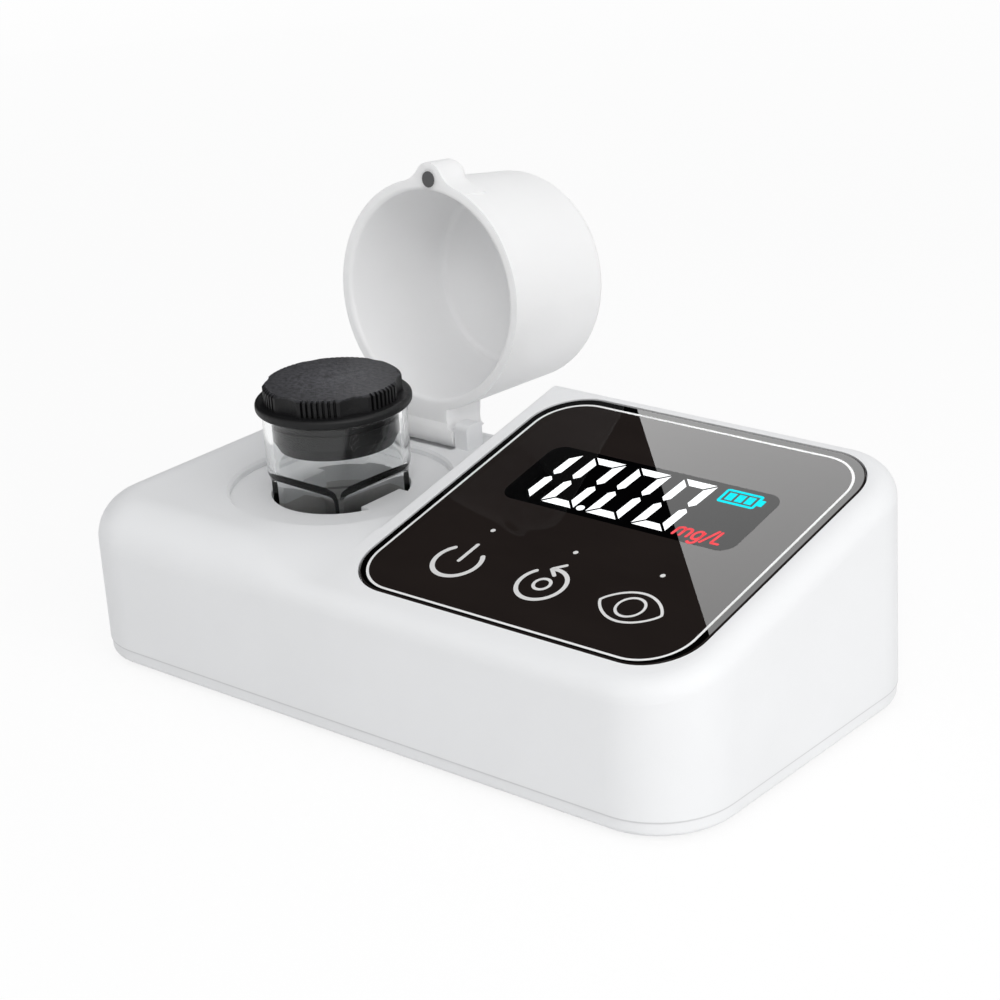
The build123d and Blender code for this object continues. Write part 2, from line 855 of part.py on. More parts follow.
def make_light_board():
    return optic_board(-1)


def make_photodetector():
    return optic(1, detector_diameter, detector_length, False)


def make_detector_board():
    return optic_board(1)


def make_deck_magnet():
    top = recess_z - magnet_skin
    return post(well_x, well_y - boss_reach, deck_magnet_diameter, top - deck_magnet_length, top)


def open_lid(body):
    """Turns a closed lid piece about the hinge to its open place."""
    return body.rotate(Axis((well_x, hinge_y, hinge_z), (1, 0, 0)), -open_angle)


def cup_profile(radius, top_radius, height, edge_radius):
    """Solid of revolution: a slightly tapered cup with a rounded closed end."""
    outline = Polyline((0, 0), (radius, 0), (top_radius, height), (0, height), close=True)
    body = revolve(Plane.XZ * make_face(outline), Axis.Z)
    edge = body.edges().group_by(Axis.Z)[-1].sort_by(SortBy.LENGTH)[-1]
    return Pos(well_x, well_y, rim_z) * fillet(edge, edge_radius)


def make_lug():
    """Hinge lug: an arm that flares out to the knuckle, drawn in side view and in plan."""
    reach = hinge_y - well_y - cup_radius + cup_wall / 2
    arm_top = rim_z + lug_depth
    arm = Pos(hinge_y - lug_rear_offset - reach / 2, (rim_z + arm_top) / 2) * Rectangle(reach, lug_depth)
    rear = [v for v in arm.vertices() if v.X > hinge_y - lug_rear_offset - 0.01 and v.Y > arm_top - 0.01]
    arm = fillet(rear, lug_corner_radius)
    side = arm + Pos(hinge_y, hinge_z) * Circle(knuckle_radius)
    start = well_x - knuckle_half_width
    solid = extrude(Plane.YZ.offset(start) * side, amount=2 * knuckle_half_width)
    flare = knuckle_half_width - lug_half_width
    neck_y = hinge_y - lug_neck_offset
    wide = knuckle_radius + lug_neck_offset
    outline = Pos(well_x, neck_y + wide / 2) * Rectangle(2 * knuckle_half_width, wide)
    outline += Pos(well_x, neck_y - reach / 2) * Rectangle(2 * lug_half_width, reach + knuckle_radius)
    fillets = Pos(well_x, neck_y - flare / 2) * Rectangle(2 * knuckle_half_width, flare)
    for s in (-1, 1):
        fillets -= Pos(well_x + s * knuckle_half_width, neck_y - flare) * Circle(flare)
    outline += fillets
    return solid & prism(outline, 0, tall)


def make_boss_blend():
    """Hollow corners between the magnet boss and the cup, filled with a round."""
    joined = Circle(cup_radius) + Pos(0, -boss_reach) * Circle(boss_radius)
    hollow = [v for v in joined.vertices() if v.Y < -cup_radius / 2 and abs(v.X) > boss_radius / 3]
    joined = fillet(hollow, boss_blend_radius)
    near = Pos(0, -boss_reach) * Rectangle(2 * (boss_radius + boss_blend_radius), 2 * boss_radius)
    outline = (joined & near) - Circle(cup_radius - cup_wall / 2)
    return Pos(well_x, well_y) * prism(outline, rim_z, rim_z + boss_blend_height)


def make_lid_cup():
    body = cup_profile(cup_radius, cup_top_radius, cup_height, cup_edge_radius) + make_lug()
    boss_y = well_y - boss_reach
    body += post(well_x, boss_y, 2 * boss_radius, rim_z, rim_z + boss_length)
    body += Pos(well_x, boss_y, rim_z + boss_length) * Sphere(boss_radius)
    body += make_boss_blend()
    hollow = cup_profile(
        cup_radius - cup_wall, cup_top_radius - cup_wall, cup_height - cup_top_thickness, cup_inner_radius
    )
    body -= hollow
    rim = body.edges().filter_by(GeomType.CIRCLE).group_by(Axis.Z)[0]
    inner = [edge for edge in rim if abs(edge.radius - cup_radius + cup_wall) < cup_wall / 4]
    body = fillet(inner, cup_rim_round)
    body -= post(well_x, boss_y, magnet_diameter + 2 * magnet_clearance, 0, rim_z + magnet_length)
    hole = pin_diameter / 2 + pin_running_clearance
    body -= bar_x(hinge_y, hinge_z, hole, well_x - 2 * knuckle_half_width, well_x + 2 * knuckle_half_width)
    return open_lid(body)


def make_lid_magnet():
    return open_lid(post(well_x, well_y - boss_reach, magnet_diameter, rim_z, rim_z + magnet_length))


def make_hinge_pin():
    end = knuckle_half_width + ear_gap + ear_thickness
    return bar_x(hinge_y, hinge_z, pin_diameter / 2, well_x - end, well_x + end - pin_end_skin)


def flared_slab(inset, floor_z, top_z):
    """Slab with upright sides that bend outwards in a round and then rise with the shoulder."""
    start_z = vial_z + vial_square_height
    bend = vial_shoulder_round + inset
    centre = vial_half_side + vial_shoulder_round
    half = centre - bend
    wide = vial_radius + vial_wall
    climb = vial_shoulder_height / (vial_radius - vial_half_side)
    turn = atan(climb)
    middle = (pi / 2 + turn) / 2 + pi / 2
    bend_middle = (centre + bend * cos(middle), start_z + bend * sin(middle))
    bend_end = (centre - bend * sin(turn), start_z + bend * cos(turn))
    edge = (wide, bend_end[1] + (wide - bend_end[0]) * climb)
    outline = Line((-half, floor_z), (half, floor_z))
    outline += Line((half, floor_z), (half, start_z))
    outline += ThreePointArc((half, start_z), bend_middle, bend_end)
    outline += Line(bend_end, edge)
    outline += Line(edge, (wide, top_z))
    outline += Line((wide, top_z), (-wide, top_z))
    outline += Line((-wide, top_z), (-wide, edge[1]))
    outline += Line((-wide, edge[1]), (-bend_end[0], bend_end[1]))
    outline += ThreePointArc((-bend_end[0], bend_end[1]), (-bend_middle[0], bend_middle[1]), (-half, start_z))
    outline += Line((-half, start_z), (-half, floor_z))
    return extrude(Plane.YZ * make_face(outline), amount=2 * vial_radius, both=True)


def vial_form(inset, floor_z, top_z):
    """Round-to-square bottle form: a turned body cut by two flared slabs at right angles."""
    shoulder_z = vial_z + vial_square_height + vial_shoulder_round / 2
    corner = vial_corner_radius - inset
    neck = vial_radius - inset
    outline = Polyline(
        (0, floor_z), (corner, floor_z), (corner, shoulder_z), (neck, shoulder_z + vial_shoulder_height),
        (neck, top_z), (0, top_z), close=True
    )
    turned = revolve(Plane.XZ * make_face(outline), Axis.Z)
    slab = flared_slab(inset, floor_z, top_z)
    return turned & slab & (Rot(0, 0, 90) * slab)


def make_vial():
    body = vial_form(0, vial_z, vial_rim_z)
    body = chamfer(body.faces().sort_by(Axis.Z)[0].edges(), vial_foot_chamfer)
    body -= vial_form(vial_wall, vial_z + vial_base, vial_rim_z + vial_wall)
    rim = body.faces().sort_by(Axis.Z)[-1]
    body = fillet(rim.edges(), rim_round)
    return Pos(well_x, well_y, 0) * Rot(0, 0, vial_turn) * body


def knob_outline():
    """Plan of the grip: a disc with shallow scoops between groups of fine grooves."""
    outline = Circle(knob_radius)
    for i in range(grip_count):
        turn = grip_start_angle + i * 360 / grip_count
        scoop_angle = radians(turn + 180 / grip_count)
        reach = knob_radius + scoop_radius - scoop_depth
        outline -= Pos(reach * cos(scoop_angle), reach * sin(scoop_angle)) * Circle(scoop_radius)
        for k in range(groove_count):
            slot = Rot(0, 0, turn + (k - (groove_count - 1) / 2) * groove_pitch_angle) * Pos(knob_radius, 0)
            outline -= slot * SlotOverall(2 * groove_depth, groove_width)
    return outline


def make_vial_cap():
    """Stopper in one piece: knurled knob, flange and tapered plug with a ring groove."""
    seat_z = vial_rim_z + flange_seat_gap
    flange_z = seat_z + flange_height
    top_z = flange_z + knob_height
    plug = vial_radius - vial_wall - plug_clearance
    low_z = vial_rim_z - plug_depth
    groove_z = vial_rim_z - plug_groove_drop
    ring = plug - plug_groove_depth
    outline = Polyline(
        (0, low_z), (plug - plug_taper, low_z), (plug, low_z + plug_taper_height),
        (plug, groove_z - plug_groove_height), (ring, groove_z - plug_groove_height), (ring, groove_z),
        (plug, groove_z), (plug, seat_z),
        (flange_radius, seat_z), (flange_radius, flange_z), (0, flange_z), close=True
    )
    body = revolve(Plane.XZ * make_face(outline), Axis.Z)
    edges = [e for e in body.edges() if e.length > 6.2 * flange_radius]
    body = fillet(edges, flange_round)
    crown = Polyline(
        (0, flange_z - flange_round), (knob_radius, flange_z - flange_round), (knob_radius, top_z - knob_edge),
        (knob_radius - knob_edge, top_z - knob_edge / 4), (0, top_z + knob_crown - knob_edge / 4), close=True
    )
    knob = revolve(Plane.XZ * make_face(crown), Axis.Z)
    body += knob & prism(knob_outline(), flange_z - flange_round, top_z + knob_crown)
    body -= post(0, 0, 2 * (plug - plug_wall), low_z - wall, low_z + plug_hollow_depth)
    return Pos(well_x, well_y, 0) * body


def save(name, shapes, place):
    """Writes one node at its place, with its solids gathered in one group."""
    solids = []
    for shape in shapes if isinstance(shapes, list) else [shapes]:
        solids += (place * shape).solids()
    node = solids[0] if len(solids) == 1 else Compound(children=solids)
    node.label = name
    export_step(node, "parts/" + name + ".step")


def main():
    os.makedirs("parts", exist_ok=True)
    lid_cup = make_lid_cup()
    rear_overhang = lid_cup.bounding_box().max.Y - housing_depth / 2
    place = Pos(0, -rear_overhang / 2, 0)
    nodes = {
        "upper_housing": make_upper_housing(),
        "base_cover": make_base_cover(),
        "battery_door": make_battery_door(),
        "battery_door_screw": make_battery_door_screw(),
        "housing_screws": make_housing_screws(),
        "rubber_feet": make_rubber_feet(),
        "battery_cells": make_battery_cells(),
        "battery_contacts": make_battery_contacts(),
        "main_board": make_main_board(),
        "board_components": make_board_components(),
        "board_screws": make_board_screws(),
        "front_glass": make_front_glass(),
        "panel_gasket": make_panel_gasket(),
        "touch_board": make_touch_board(),
        "display_module": make_display_module(),
        "sample_well": make_sample_well(),
        "well_pad": make_well_pad(),
        "well_screws": make_well_screws(),
        "well_windows": make_well_windows(),
        "light_source": make_light_source(),
        "light_board": make_light_board(),
        "photodetector": make_photodetector(),
        "detector_board": make_detector_board(),
        "deck_magnet": make_deck_magnet(),
        "hinge_pin": make_hinge_pin(),
        "lid_cup": lid_cup,
        "lid_magnet": make_lid_magnet(),
        "vial": make_vial(),
        "vial_cap": make_vial_cap(),
    }
    for name, shapes in nodes.items():
        save(name, shapes, place)
    print("origin moved to the rear by", round(rear_overhang / 2, 4))


main()
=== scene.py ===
from math import cos, pi, radians, sin

import bpy
import numpy as np
from mathutils import Matrix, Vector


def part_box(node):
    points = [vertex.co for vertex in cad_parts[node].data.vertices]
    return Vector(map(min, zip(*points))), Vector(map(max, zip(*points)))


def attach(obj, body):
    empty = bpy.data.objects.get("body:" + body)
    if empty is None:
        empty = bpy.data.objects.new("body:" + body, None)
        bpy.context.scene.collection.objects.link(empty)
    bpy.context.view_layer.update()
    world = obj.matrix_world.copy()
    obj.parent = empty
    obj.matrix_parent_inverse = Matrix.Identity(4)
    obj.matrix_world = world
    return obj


bl_info = {
    "name": "Portable water analyzer",
    "version": (1, 0, 0),
    "blender": (4, 5, 0),
    "location": "3D View > Sidebar > Analyzer",
    "description": "Finishes, panel signs and studio of a portable water quality analyzer",
    "category": "Object",
}

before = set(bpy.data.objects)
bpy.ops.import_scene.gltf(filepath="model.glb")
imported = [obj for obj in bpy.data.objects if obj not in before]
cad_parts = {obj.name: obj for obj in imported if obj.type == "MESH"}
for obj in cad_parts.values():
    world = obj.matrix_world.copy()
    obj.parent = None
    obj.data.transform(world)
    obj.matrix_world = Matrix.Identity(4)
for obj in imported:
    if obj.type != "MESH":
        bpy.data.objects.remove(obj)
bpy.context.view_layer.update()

MM = 0.001

# The glass panel as the source has it
PANEL_SLOPE = radians(12.7)
PANEL_LENGTH = 68.9 * MM
GLASS_THICKNESS = 1.6 * MM
GLASS_CHAMFER = 0.2 * MM
GLASS_RADIUS = 10.5 * MM

# In mm: height of the films' and the lit figures' tops over the glass, and the border's corner radius
FILM_HEIGHT = 0.01
FIGURE_HEIGHT = 0.03
BORDER_RADIUS = 9.4

# Points of a piece that lie closer than this are one point
MERGE_DISTANCE = 0.0001 * MM

# Part of a noise pattern over which a finish goes from its low to its high tone
TONE_SPAN = (0.35, 0.65)

# Below real glass, so that the dark bands under the vial's waist stay narrow
CLEAR_INDEX = 1.34

# Specular levels and smeared roughness of the coated panel glass and of the films on it
PANEL_LEVEL = 0.02
WINDOW_LEVEL = 0.0087
SMEARED = (0.0, 0.012)

# Painted light and shade that follow the height: painted shade round the housing's seam, painted
# light down from the well's mouth, and painted light that makes the stopper's top greyer than its
# sides
SEAM_REACH = 0.30 * MM
# Painted shade: the darker tone of the seam's gap, laid on the plastic
SEAM_SHADE_TONE = (0.66, 0.66, 0.67)
LIT_MOUTH_DEPTH = 10.5 * MM
STOPPER_LIT_TOP_EDGE = (1.0 * MM, 0.1 * MM)

# The camera of the photograph, solved from the housing's edges, in housing units of 1.5 mm
CAMERA_UNIT = 1.5 * MM
CAMERA_FOCAL = 2502.61
CAMERA_CENTRE = (506.777, 491.435)
CAMERA_AZIMUTH = radians(41.286)
CAMERA_ELEVATION = radians(21.598)
CAMERA_ROLL = radians(-3.739)
CAMERA_DISTANCE = 324.993
CAMERA_OFFSET = (-2.285, -22.3)
CAMERA_CLIP = (0.01, 20.0)
IMAGE_SIZE = 1000
SENSOR = 36.0

# Rays that see the white surround and the lit floor, where other rays get the studio's light
DIRECT_RAYS = ("Is Camera Ray", "Is Glossy Ray", "Is Transmission Ray")

# The floor, in metres: it shines more with the distance from its middle, from near to far
FLOOR_HALF = 3.0
FLOOR_LEVEL = -0.02 * MM
FLOOR_STRENGTH = 1.02
FLOOR_FADE = (0.3, 1.2)
FLOOR_SHARE = (0.82, 1.0)
FLOOR_BOUNCE = (0.82, 0.82, 0.82)

# The glare's straight edge on the panel and a point on its bright side, in mm
GLARE_START = (-18.8, 34.2)
GLARE_END = (36.2, -21.1)
GLARE_SIDE = (36.0, 32.0)

# The cards that the panel mirrors, in metres: distance, what they reach past the glare, and depths
CARD_DISTANCE = 0.5
CARD_MARGIN = 0.02
GLARE_CARD_DEPTH = 0.12
DARK_CARD_REACH = 0.6
DARK_CARD_STRENGTH = 0.02


def panel_axes():
    """Middle of the glass panel's top face, its two directions and its normal.

    The glass node's box ends in y at the foot of the glass's back face and in z at the chamfer of
    its top, so the middle is half a length down the slope from there.
    """
    low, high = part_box("front_glass")
    across = np.array([1.0, 0.0, 0.0])
    upward = np.array([0.0, cos(PANEL_SLOPE), sin(PANEL_SLOPE)])
    normal = np.array([0.0, -sin(PANEL_SLOPE), cos(PANEL_SLOPE)])
    y = high[1] - GLASS_THICKNESS * sin(PANEL_SLOPE) - PANEL_LENGTH / 2 * cos(PANEL_SLOPE)
    z = high[2] - (PANEL_LENGTH / 2 - GLASS_CHAMFER) * sin(PANEL_SLOPE)
    return np.array([(low[0] + high[0]) / 2, y, z]), across, upward, normal


def on_panel(points):
    """Panel points in mm (x to the right, y up the slope, lift off the glass) as frame places:

    place = middle + x * across + y * upward + lift * normal.
    """
    middle, across, upward, normal = panel_axes()
    x, y, lift = points[..., :1], points[..., 1:2], points[..., 2:3]
    return middle + MM * (x * across + y * upward + lift * normal)


# Surfaces on parametric grids


def closed_surface(grids):
    """Points and triangles of closed grids, each an array of rows and columns of points.

    The columns close on themselves, and the rows too where a grid's flag says so. Neighbouring
    points are joined by two triangles, a grid whose signed volume is negative is turned so that
    its faces point outwards, and points of one place are merged.
    """
    points, faces, start = [], [], 0
    for grid, closed_rows in grids:
        rows, columns = grid.shape[:2]
        index = np.arange(rows * columns).reshape(rows, columns)
        index = np.hstack([index, index[:, :1]])
        if closed_rows:
            index = np.vstack([index, index[:1]])
        corners = [index[:-1, :-1], index[1:, :-1], index[1:, 1:], index[:-1, 1:]]
        quads = np.stack(corners, -1).reshape(-1, 4)
        triangles = np.vstack([quads[:, [0, 1, 2]], quads[:, [0, 2, 3]]])
        flat = grid.reshape(-1, 3)
        a, b, c = (flat[triangles[:, k]] - flat.mean(0) for k in range(3))
        if (a * np.cross(b, c)).sum() < 0:
            triangles = triangles[:, ::-1]
        points.append(flat)
        faces.append(triangles + start)
        start += len(flat)
    points, faces = np.vstack(points), np.vstack(faces)
    cells = np.round(points / MERGE_DISTANCE)
    _, first, merged = np.unique(cells, axis=0, return_index=True, return_inverse=True)
    points, faces = points[first], merged.reshape(-1)[faces]
    a, b, c = faces.T
    return points, faces[(a != b) & (b != c) & (c != a)]


def add_object(name, data):
    """Object of a mesh, lamp or camera in the scene."""
    added = bpy.data.objects.new(name, data)
    bpy.context.scene.collection.objects.link(added)
    return added


def new_piece(name, grids, material, body):
    """One flat-shaded piece from closed grids, on its body and in its material slot."""
    points, faces = closed_surface(grids)
    mesh = bpy.data.meshes.new(name)
    mesh.from_pydata(points.tolist(), [], faces.tolist())
    mesh.polygons.foreach_set("use_smooth", np.zeros(len(faces), bool))
    mesh.update()
    mesh.materials.append(material)
    piece = add_object(name, mesh)
    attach(piece, body)


def stacked(outlines, axis=0):
    """Outlines on the panel, each with its height in mm, as the rows or columns of one grid."""
    rows = [np.hstack([flat, np.full((len(flat), 1), height)]) for flat, height in outlines]
    return on_panel(np.stack(rows, axis))


def stroke_places(path, width, closed):
    """Places along a path, their sideways directions and half widths.

    The path is walked by its length. An open path's half width is that of a half circle at each
    end: sqrt(r^2 - (r - s)^2) at the distance s from the end, with r half the width. A direction
    is the line from the place a little behind to the one a little ahead.
    """
    path = np.asarray(path, float)
    if closed:
        path = np.vstack([path, path[:1]])
    length = np.concatenate([[0.0], np.cumsum(np.linalg.norm(np.diff(path, axis=0), axis=1))])
    whole, radius = length[-1], width / 2
    spacing, reach = 0.6 * radius, radius / 4
    end_steps, least_steps, least_loop_steps = 9, 3, 48
    steps = int(whole / spacing)

    def at(distance):
        return np.stack([np.interp(distance, length, path[:, k]) for k in range(2)], 1)

    if closed:
        walk = np.linspace(0, whole, max(least_loop_steps, steps) + 1)[:-1]
        half = np.full(len(walk), radius)
        ahead, behind = (walk + reach) % whole, (walk - reach) % whole
    else:
        bend = radius * (1 - np.cos(np.linspace(0, pi / 2, end_steps)))
        middle = np.linspace(radius, whole - radius, max(least_steps, steps))
        walk = np.concatenate([bend[:-1], middle, whole - bend[::-1][1:]])
        end = np.minimum(np.minimum(walk, whole - walk), radius)
        half = np.sqrt(np.maximum(radius**2 - (radius - end) ** 2, 0))
        ahead, behind = np.minimum(walk + reach, whole), np.maximum(walk - reach, 0)
    along = at(ahead) - at(behind)
    along /= np.linalg.norm(along, axis=1)[:, None]
    return at(walk), np.stack([-along[:, 1], along[:, 0]], 1), half


def line(path, width, height, closed=False):
    """Flat line on the panel: a rectangle of that width and height carried along the path."""
    places, side, half = stroke_places(path, width, closed)
    left, right = places + side * half[:, None], places - side * half[:, None]
    return stacked([(left, 0.0), (left, height), (right, height), (right, 0.0)], axis=1), closed


def plate(outline, height, low=0.0):
    """Flat plate on the panel: rows of one outline, drawn to its middle below and above."""
    outline = np.asarray(outline, float)
    middle = np.repeat(outline.mean(0)[None], len(outline), 0)
    return stacked([(middle, low), (outline, low), (outline, height), (middle, height)]), False


def band(outer, inner, height):
    """Flat band between two outlines of as many points: a rectangle's corners carried round."""
    return stacked([(outer, 0.0), (outer, height), (inner, height), (inner, 0.0)]), True


def rounded(width, length, radius, x=0.0, y=0.0, steps=12):
    """Outline of a rounded rectangle: four quarter circles about the corner middles."""
    turn = np.linspace(0, pi / 2, steps)
    parts = []
    for k, (sx, sy) in enumerate(((1, 1), (-1, 1), (-1, -1), (1, -1))):
        angle = turn + k * pi / 2
        middle = np.array([sx * (width / 2 - radius), sy * (length / 2 - radius)])
        parts.append(middle + radius * np.stack([np.cos(angle), np.sin(angle)], 1))
    return np.vstack(parts) + np.array([x, y])


def arc(x, y, rx, ry, start, end, steps):
    """Arc of an ellipse: (x + rx cos t, y + ry sin t) for t from start to end in degrees."""
    t = np.radians(np.linspace(start, end, steps))
    return np.stack([x + rx * np.cos(t), y + ry * np.sin(t)], 1)


def oval(x, y, rx, ry, steps):
    """Whole ellipse as a closed outline, without the point that comes back to its start."""
    return arc(x, y, rx, ry, 0, 360, steps)[:-1]


# Nodes


def feed(tree, node, inputs):
    """Gives a node's inputs, by name or number, a constant each or a link from an output."""
    for name, source in inputs.items():
        if isinstance(source, bpy.types.NodeSocket):
            tree.links.new(source, node.inputs[name])
        else:
            node.inputs[name].default_value = source


def add_node(tree, kind, inputs, **properties):
    """New node of a kind, with its properties set and its inputs fed."""
    node = tree.nodes.new(kind)
    for name, value in properties.items():
        setattr(node, name, value)
    feed(tree, node, inputs)
    return node


def object_place(tree):
    """Place on the object."""
    return tree.nodes.new("ShaderNodeTexCoord").outputs["Object"]


def place_along(tree, axis):
    """Place along one axis of the object."""
    return add_node(tree, "ShaderNodeSeparateXYZ", {"Vector": object_place(tree)}).outputs[axis]


def maths(tree, operation, *terms):
    """Result of an operation on one or two terms."""
    return add_node(tree, "ShaderNodeMath", dict(enumerate(terms)), operation=operation).outputs[0]


def carried(tree, value, source=(0.0, 1.0), target=(0.0, 1.0)):
    """Value carried evenly from one range to another, and held at its ends."""
    ends = {"From Min": source[0], "From Max": source[1], "To Min": target[0], "To Max": target[1]}
    return add_node(tree, "ShaderNodeMapRange", {"Value": value, **ends}).outputs["Result"]


def blend(tree, share, first, second):
    """Colour that goes from the first to the second with the share."""
    inputs = {"Factor": share, "A": first, "B": second}
    return add_node(tree, "ShaderNodeMix", inputs, data_type="RGBA").outputs["Result"]


def blend_shaders(tree, share, first, second):
    """Shader that goes from the first to the second with the share."""
    return add_node(tree, "ShaderNodeMixShader", {"Fac": share, 1: first, 2: second}).outputs[0]


def noise(tree, scale, detail, stretch=(1.0, 1.0, 1.0)):
    """Noise on the object's places, which a Mapping node stretches."""
    mapping = add_node(tree, "ShaderNodeMapping", {"Vector": object_place(tree), "Scale": stretch})
    inputs = {"Vector": mapping.outputs["Vector"], "Scale": scale, "Detail": detail}
    return add_node(tree, "ShaderNodeTexNoise", inputs).outputs["Fac"]


def tinted(tree, pattern, low, high):
    """Colour from a ramp between two tones over the middle of a pattern's range."""
    ramp = add_node(tree, "ShaderNodeValToRGB", {"Fac": pattern})
    for element, position, tone in zip(ramp.color_ramp.elements, TONE_SPAN, (low, high)):
        element.position = position
        element.color = (*tone, 1)
    return ramp.outputs["Color"]


def relief(tree, height, strength, depth):
    """Normal that a height pattern of that depth gives."""
    inputs = {"Height": height, "Strength": strength, "Distance": depth}
    return add_node(tree, "ShaderNodeBump", inputs).outputs["Normal"]


def height_share(tree, low, high):
    """0 below the height low, 1 above the height high and even between them."""
    return carried(tree, place_along(tree, "Z"), (low, high))


def lay_over(material, share, colour):
    """Mixes a colour over the base colour that a finish has."""
    tree = material.node_tree
    shader = tree.nodes["Principled BSDF"]
    plain = shader.inputs["Base Color"].links[0].from_socket
    feed(tree, shader, {"Base Color": blend(tree, share, plain, (*colour, 1))})


def seen_by(tree, kinds):
    """1 for a ray of one of the named kinds, else 0: the largest of the kinds' outputs."""
    path = tree.nodes.new("ShaderNodeLightPath")
    largest = path.outputs[kinds[0]]
    for kind in kinds[1:]:
        largest = maths(tree, "MAXIMUM", largest, path.outputs[kind])
    return largest


# Materials


def blank(name):
    """New material with its node tree and its Principled shader."""
    material = bpy.data.materials.new(name)
    material.use_nodes = True
    return material, material.node_tree, material.node_tree.nodes["Principled BSDF"]


def toned(colour, factor):
    """Colour times a factor, at most full white."""
    return tuple(min(1.0, c * factor) for c in colour)


def moulded(
    name, colour, rough, grain=2600.0, depth=0.01 * MM, variation=0.015, strength=0.25,
    gloss=0.5, glow=0.0,
):
    """Moulded plastic: faint cloudy tone, fine spark-eroded grain and uneven gloss.

    The tone wanders by variation to both sides, the grain has a scale, a depth and a strength, and
    glow is the share of light that wanders a few millimetres inside the plastic.
    """
    material, tree, shader = blank(name)
    cloud = noise(tree, scale=24.0, detail=4.0)
    low, high = toned(colour, 1 - variation), toned(colour, 1 + variation)
    finish = {
        "Base Color": tinted(tree, cloud, low, high),
        "Roughness": carried(tree, cloud, target=rough),
        "Normal": relief(tree, noise(tree, scale=grain, detail=2.0), strength, depth),
        "Specular IOR Level": gloss,
    }
    if glow:
        finish["Subsurface Weight"] = glow
        finish["Subsurface Radius"] = (1.0, 1.0, 1.0)
        finish["Subsurface Scale"] = 3.0 * MM
    feed(tree, shader, finish)
    return material


def metal(name, colour, rough):
    """Turned or plated metal with fine drawn scratches."""
    material, tree, shader = blank(name)
    scratch = noise(tree, scale=900.0, detail=5.0, stretch=(1.0, 1.0, 14.0))
    finish = {
        "Metallic": 1.0,
        "Base Color": tinted(tree, scratch, toned(colour, 0.9), colour),
        "Roughness": carried(tree, scratch, target=rough),
        "Normal": relief(tree, scratch, strength=0.2, depth=0.01 * MM),
    }
    feed(tree, shader, finish)
    return material


def clear(name, colour, rough):
    """Clear glass or resin with faint waviness and a little dust on it."""
    material, tree, shader = blank(name)
    wave = noise(tree, scale=60.0, detail=2.0)
    finish = {
        "Transmission Weight": 1.0,
        "IOR": CLEAR_INDEX,
        "Base Color": tinted(tree, wave, toned(colour, 0.99), colour),
        "Roughness": carried(tree, wave, target=rough),
        "Normal": relief(tree, wave, strength=0.05, depth=0.05 * MM),
    }
    feed(tree, shader, finish)
    return material


def well_finish(colour, mouth):
    """Dark plastic of the sample well, with painted light paling it towards the mouth, where light
    falls in.
    """
    material = moulded(
        "well_finish", colour, rough=(0.25, 0.4), grain=2200.0, depth=0.02 * MM, variation=0.1,
        strength=0.4,
    )
    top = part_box("sample_well")[1][2]
    # Painted light: a pale grey laid over the top of the well, fading downwards
    lay_over(material, height_share(material.node_tree, top - LIT_MOUTH_DEPTH, top), mouth)
    return material


def stopper_finish(colour):
    """Black stopper: dark sides and a matt grained top, told apart by height.

    The top's grey is painted light from above.
    """
    material, tree, shader = blank("stopper_finish")
    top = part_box("vial_cap")[1][2]
    above = height_share(tree, *(top - drop for drop in STOPPER_LIT_TOP_EDGE))
    grain = noise(tree, scale=1150.0, detail=4.0)
    # Painted light: the top's grey, 7 to 22 times the sides' black, stands for light from above; its
    # spread is the grain
    grey = tinted(tree, grain, toned(colour, 7), toned(colour, 22))
    finish = {
        "Base Color": blend(tree, above, (*colour, 1), grey),
        "Specular IOR Level": 0.3,
        "Roughness": carried(tree, grain, target=(0.4, 0.6)),
        "Normal": relief(tree, grain, strength=0.8, depth=0.08 * MM),
    }
    feed(tree, shader, finish)
    return material


def coated(name, low, high, level, scale, detail, stretch=(1.0, 1.0, 1.0)):
    """Black glass or print under a coating against reflections, with faint smears in its gloss."""
    material, tree, shader = blank(name)
    smear = noise(tree, scale, detail, stretch)
    finish = {
        "Base Color": tinted(tree, smear, low, high),
        "Roughness": carried(tree, smear, target=SMEARED),
        "Specular IOR Level": level,
    }
    feed(tree, shader, finish)
    return material


def film(name, colour, level):
    """Black film or print on the glass, which shows under the same coating as the glass does."""
    return coated(name, toned(colour, 0.7), colour, level, scale=300.0, detail=4.0)


def printed(name, colour):
    """White or grey print on the glass."""
    return moulded(name, colour, rough=(0.3, 0.4), grain=900.0)


def lit(name, colour, strength, gloss=0.0):
    """Lit figure of the display, a little uneven from its diffuser."""
    material, tree, shader = blank(name)
    diffuser = noise(tree, scale=700.0, detail=2.0)
    glow = tinted(tree, diffuser, toned(colour, 0.93), colour)
    finish = {
        "Base Color": glow,
        "Emission Color": glow,
        "Emission Strength": strength,
        "Specular IOR Level": gloss,
        "Roughness": 0.4,
    }
    feed(tree, shader, finish)
    return material


def board_finish():
    """Circuit board: green lacquer over copper tracks, with bare fibre between."""
    material, tree, shader = blank("board_finish")
    pattern = {
        "Vector": object_place(tree),
        "Scale": 220.0,
        "Mortar Size": 0.03,
        "Color1": (0.012, 0.09, 0.035, 1),
        "Color2": (0.016, 0.12, 0.045, 1),
        "Mortar": (0.03, 0.2, 0.08, 1),
    }
    fibre = noise(tree, scale=1500.0, detail=2.0)
    finish = {
        "Base Color": add_node(tree, "ShaderNodeTexBrick", pattern).outputs["Color"],
        "Roughness": carried(tree, fibre, target=(0.25, 0.4)),
        "Normal": relief(tree, fibre, strength=0.2, depth=0.02 * MM),
    }
    feed(tree, shader, finish)
    return material


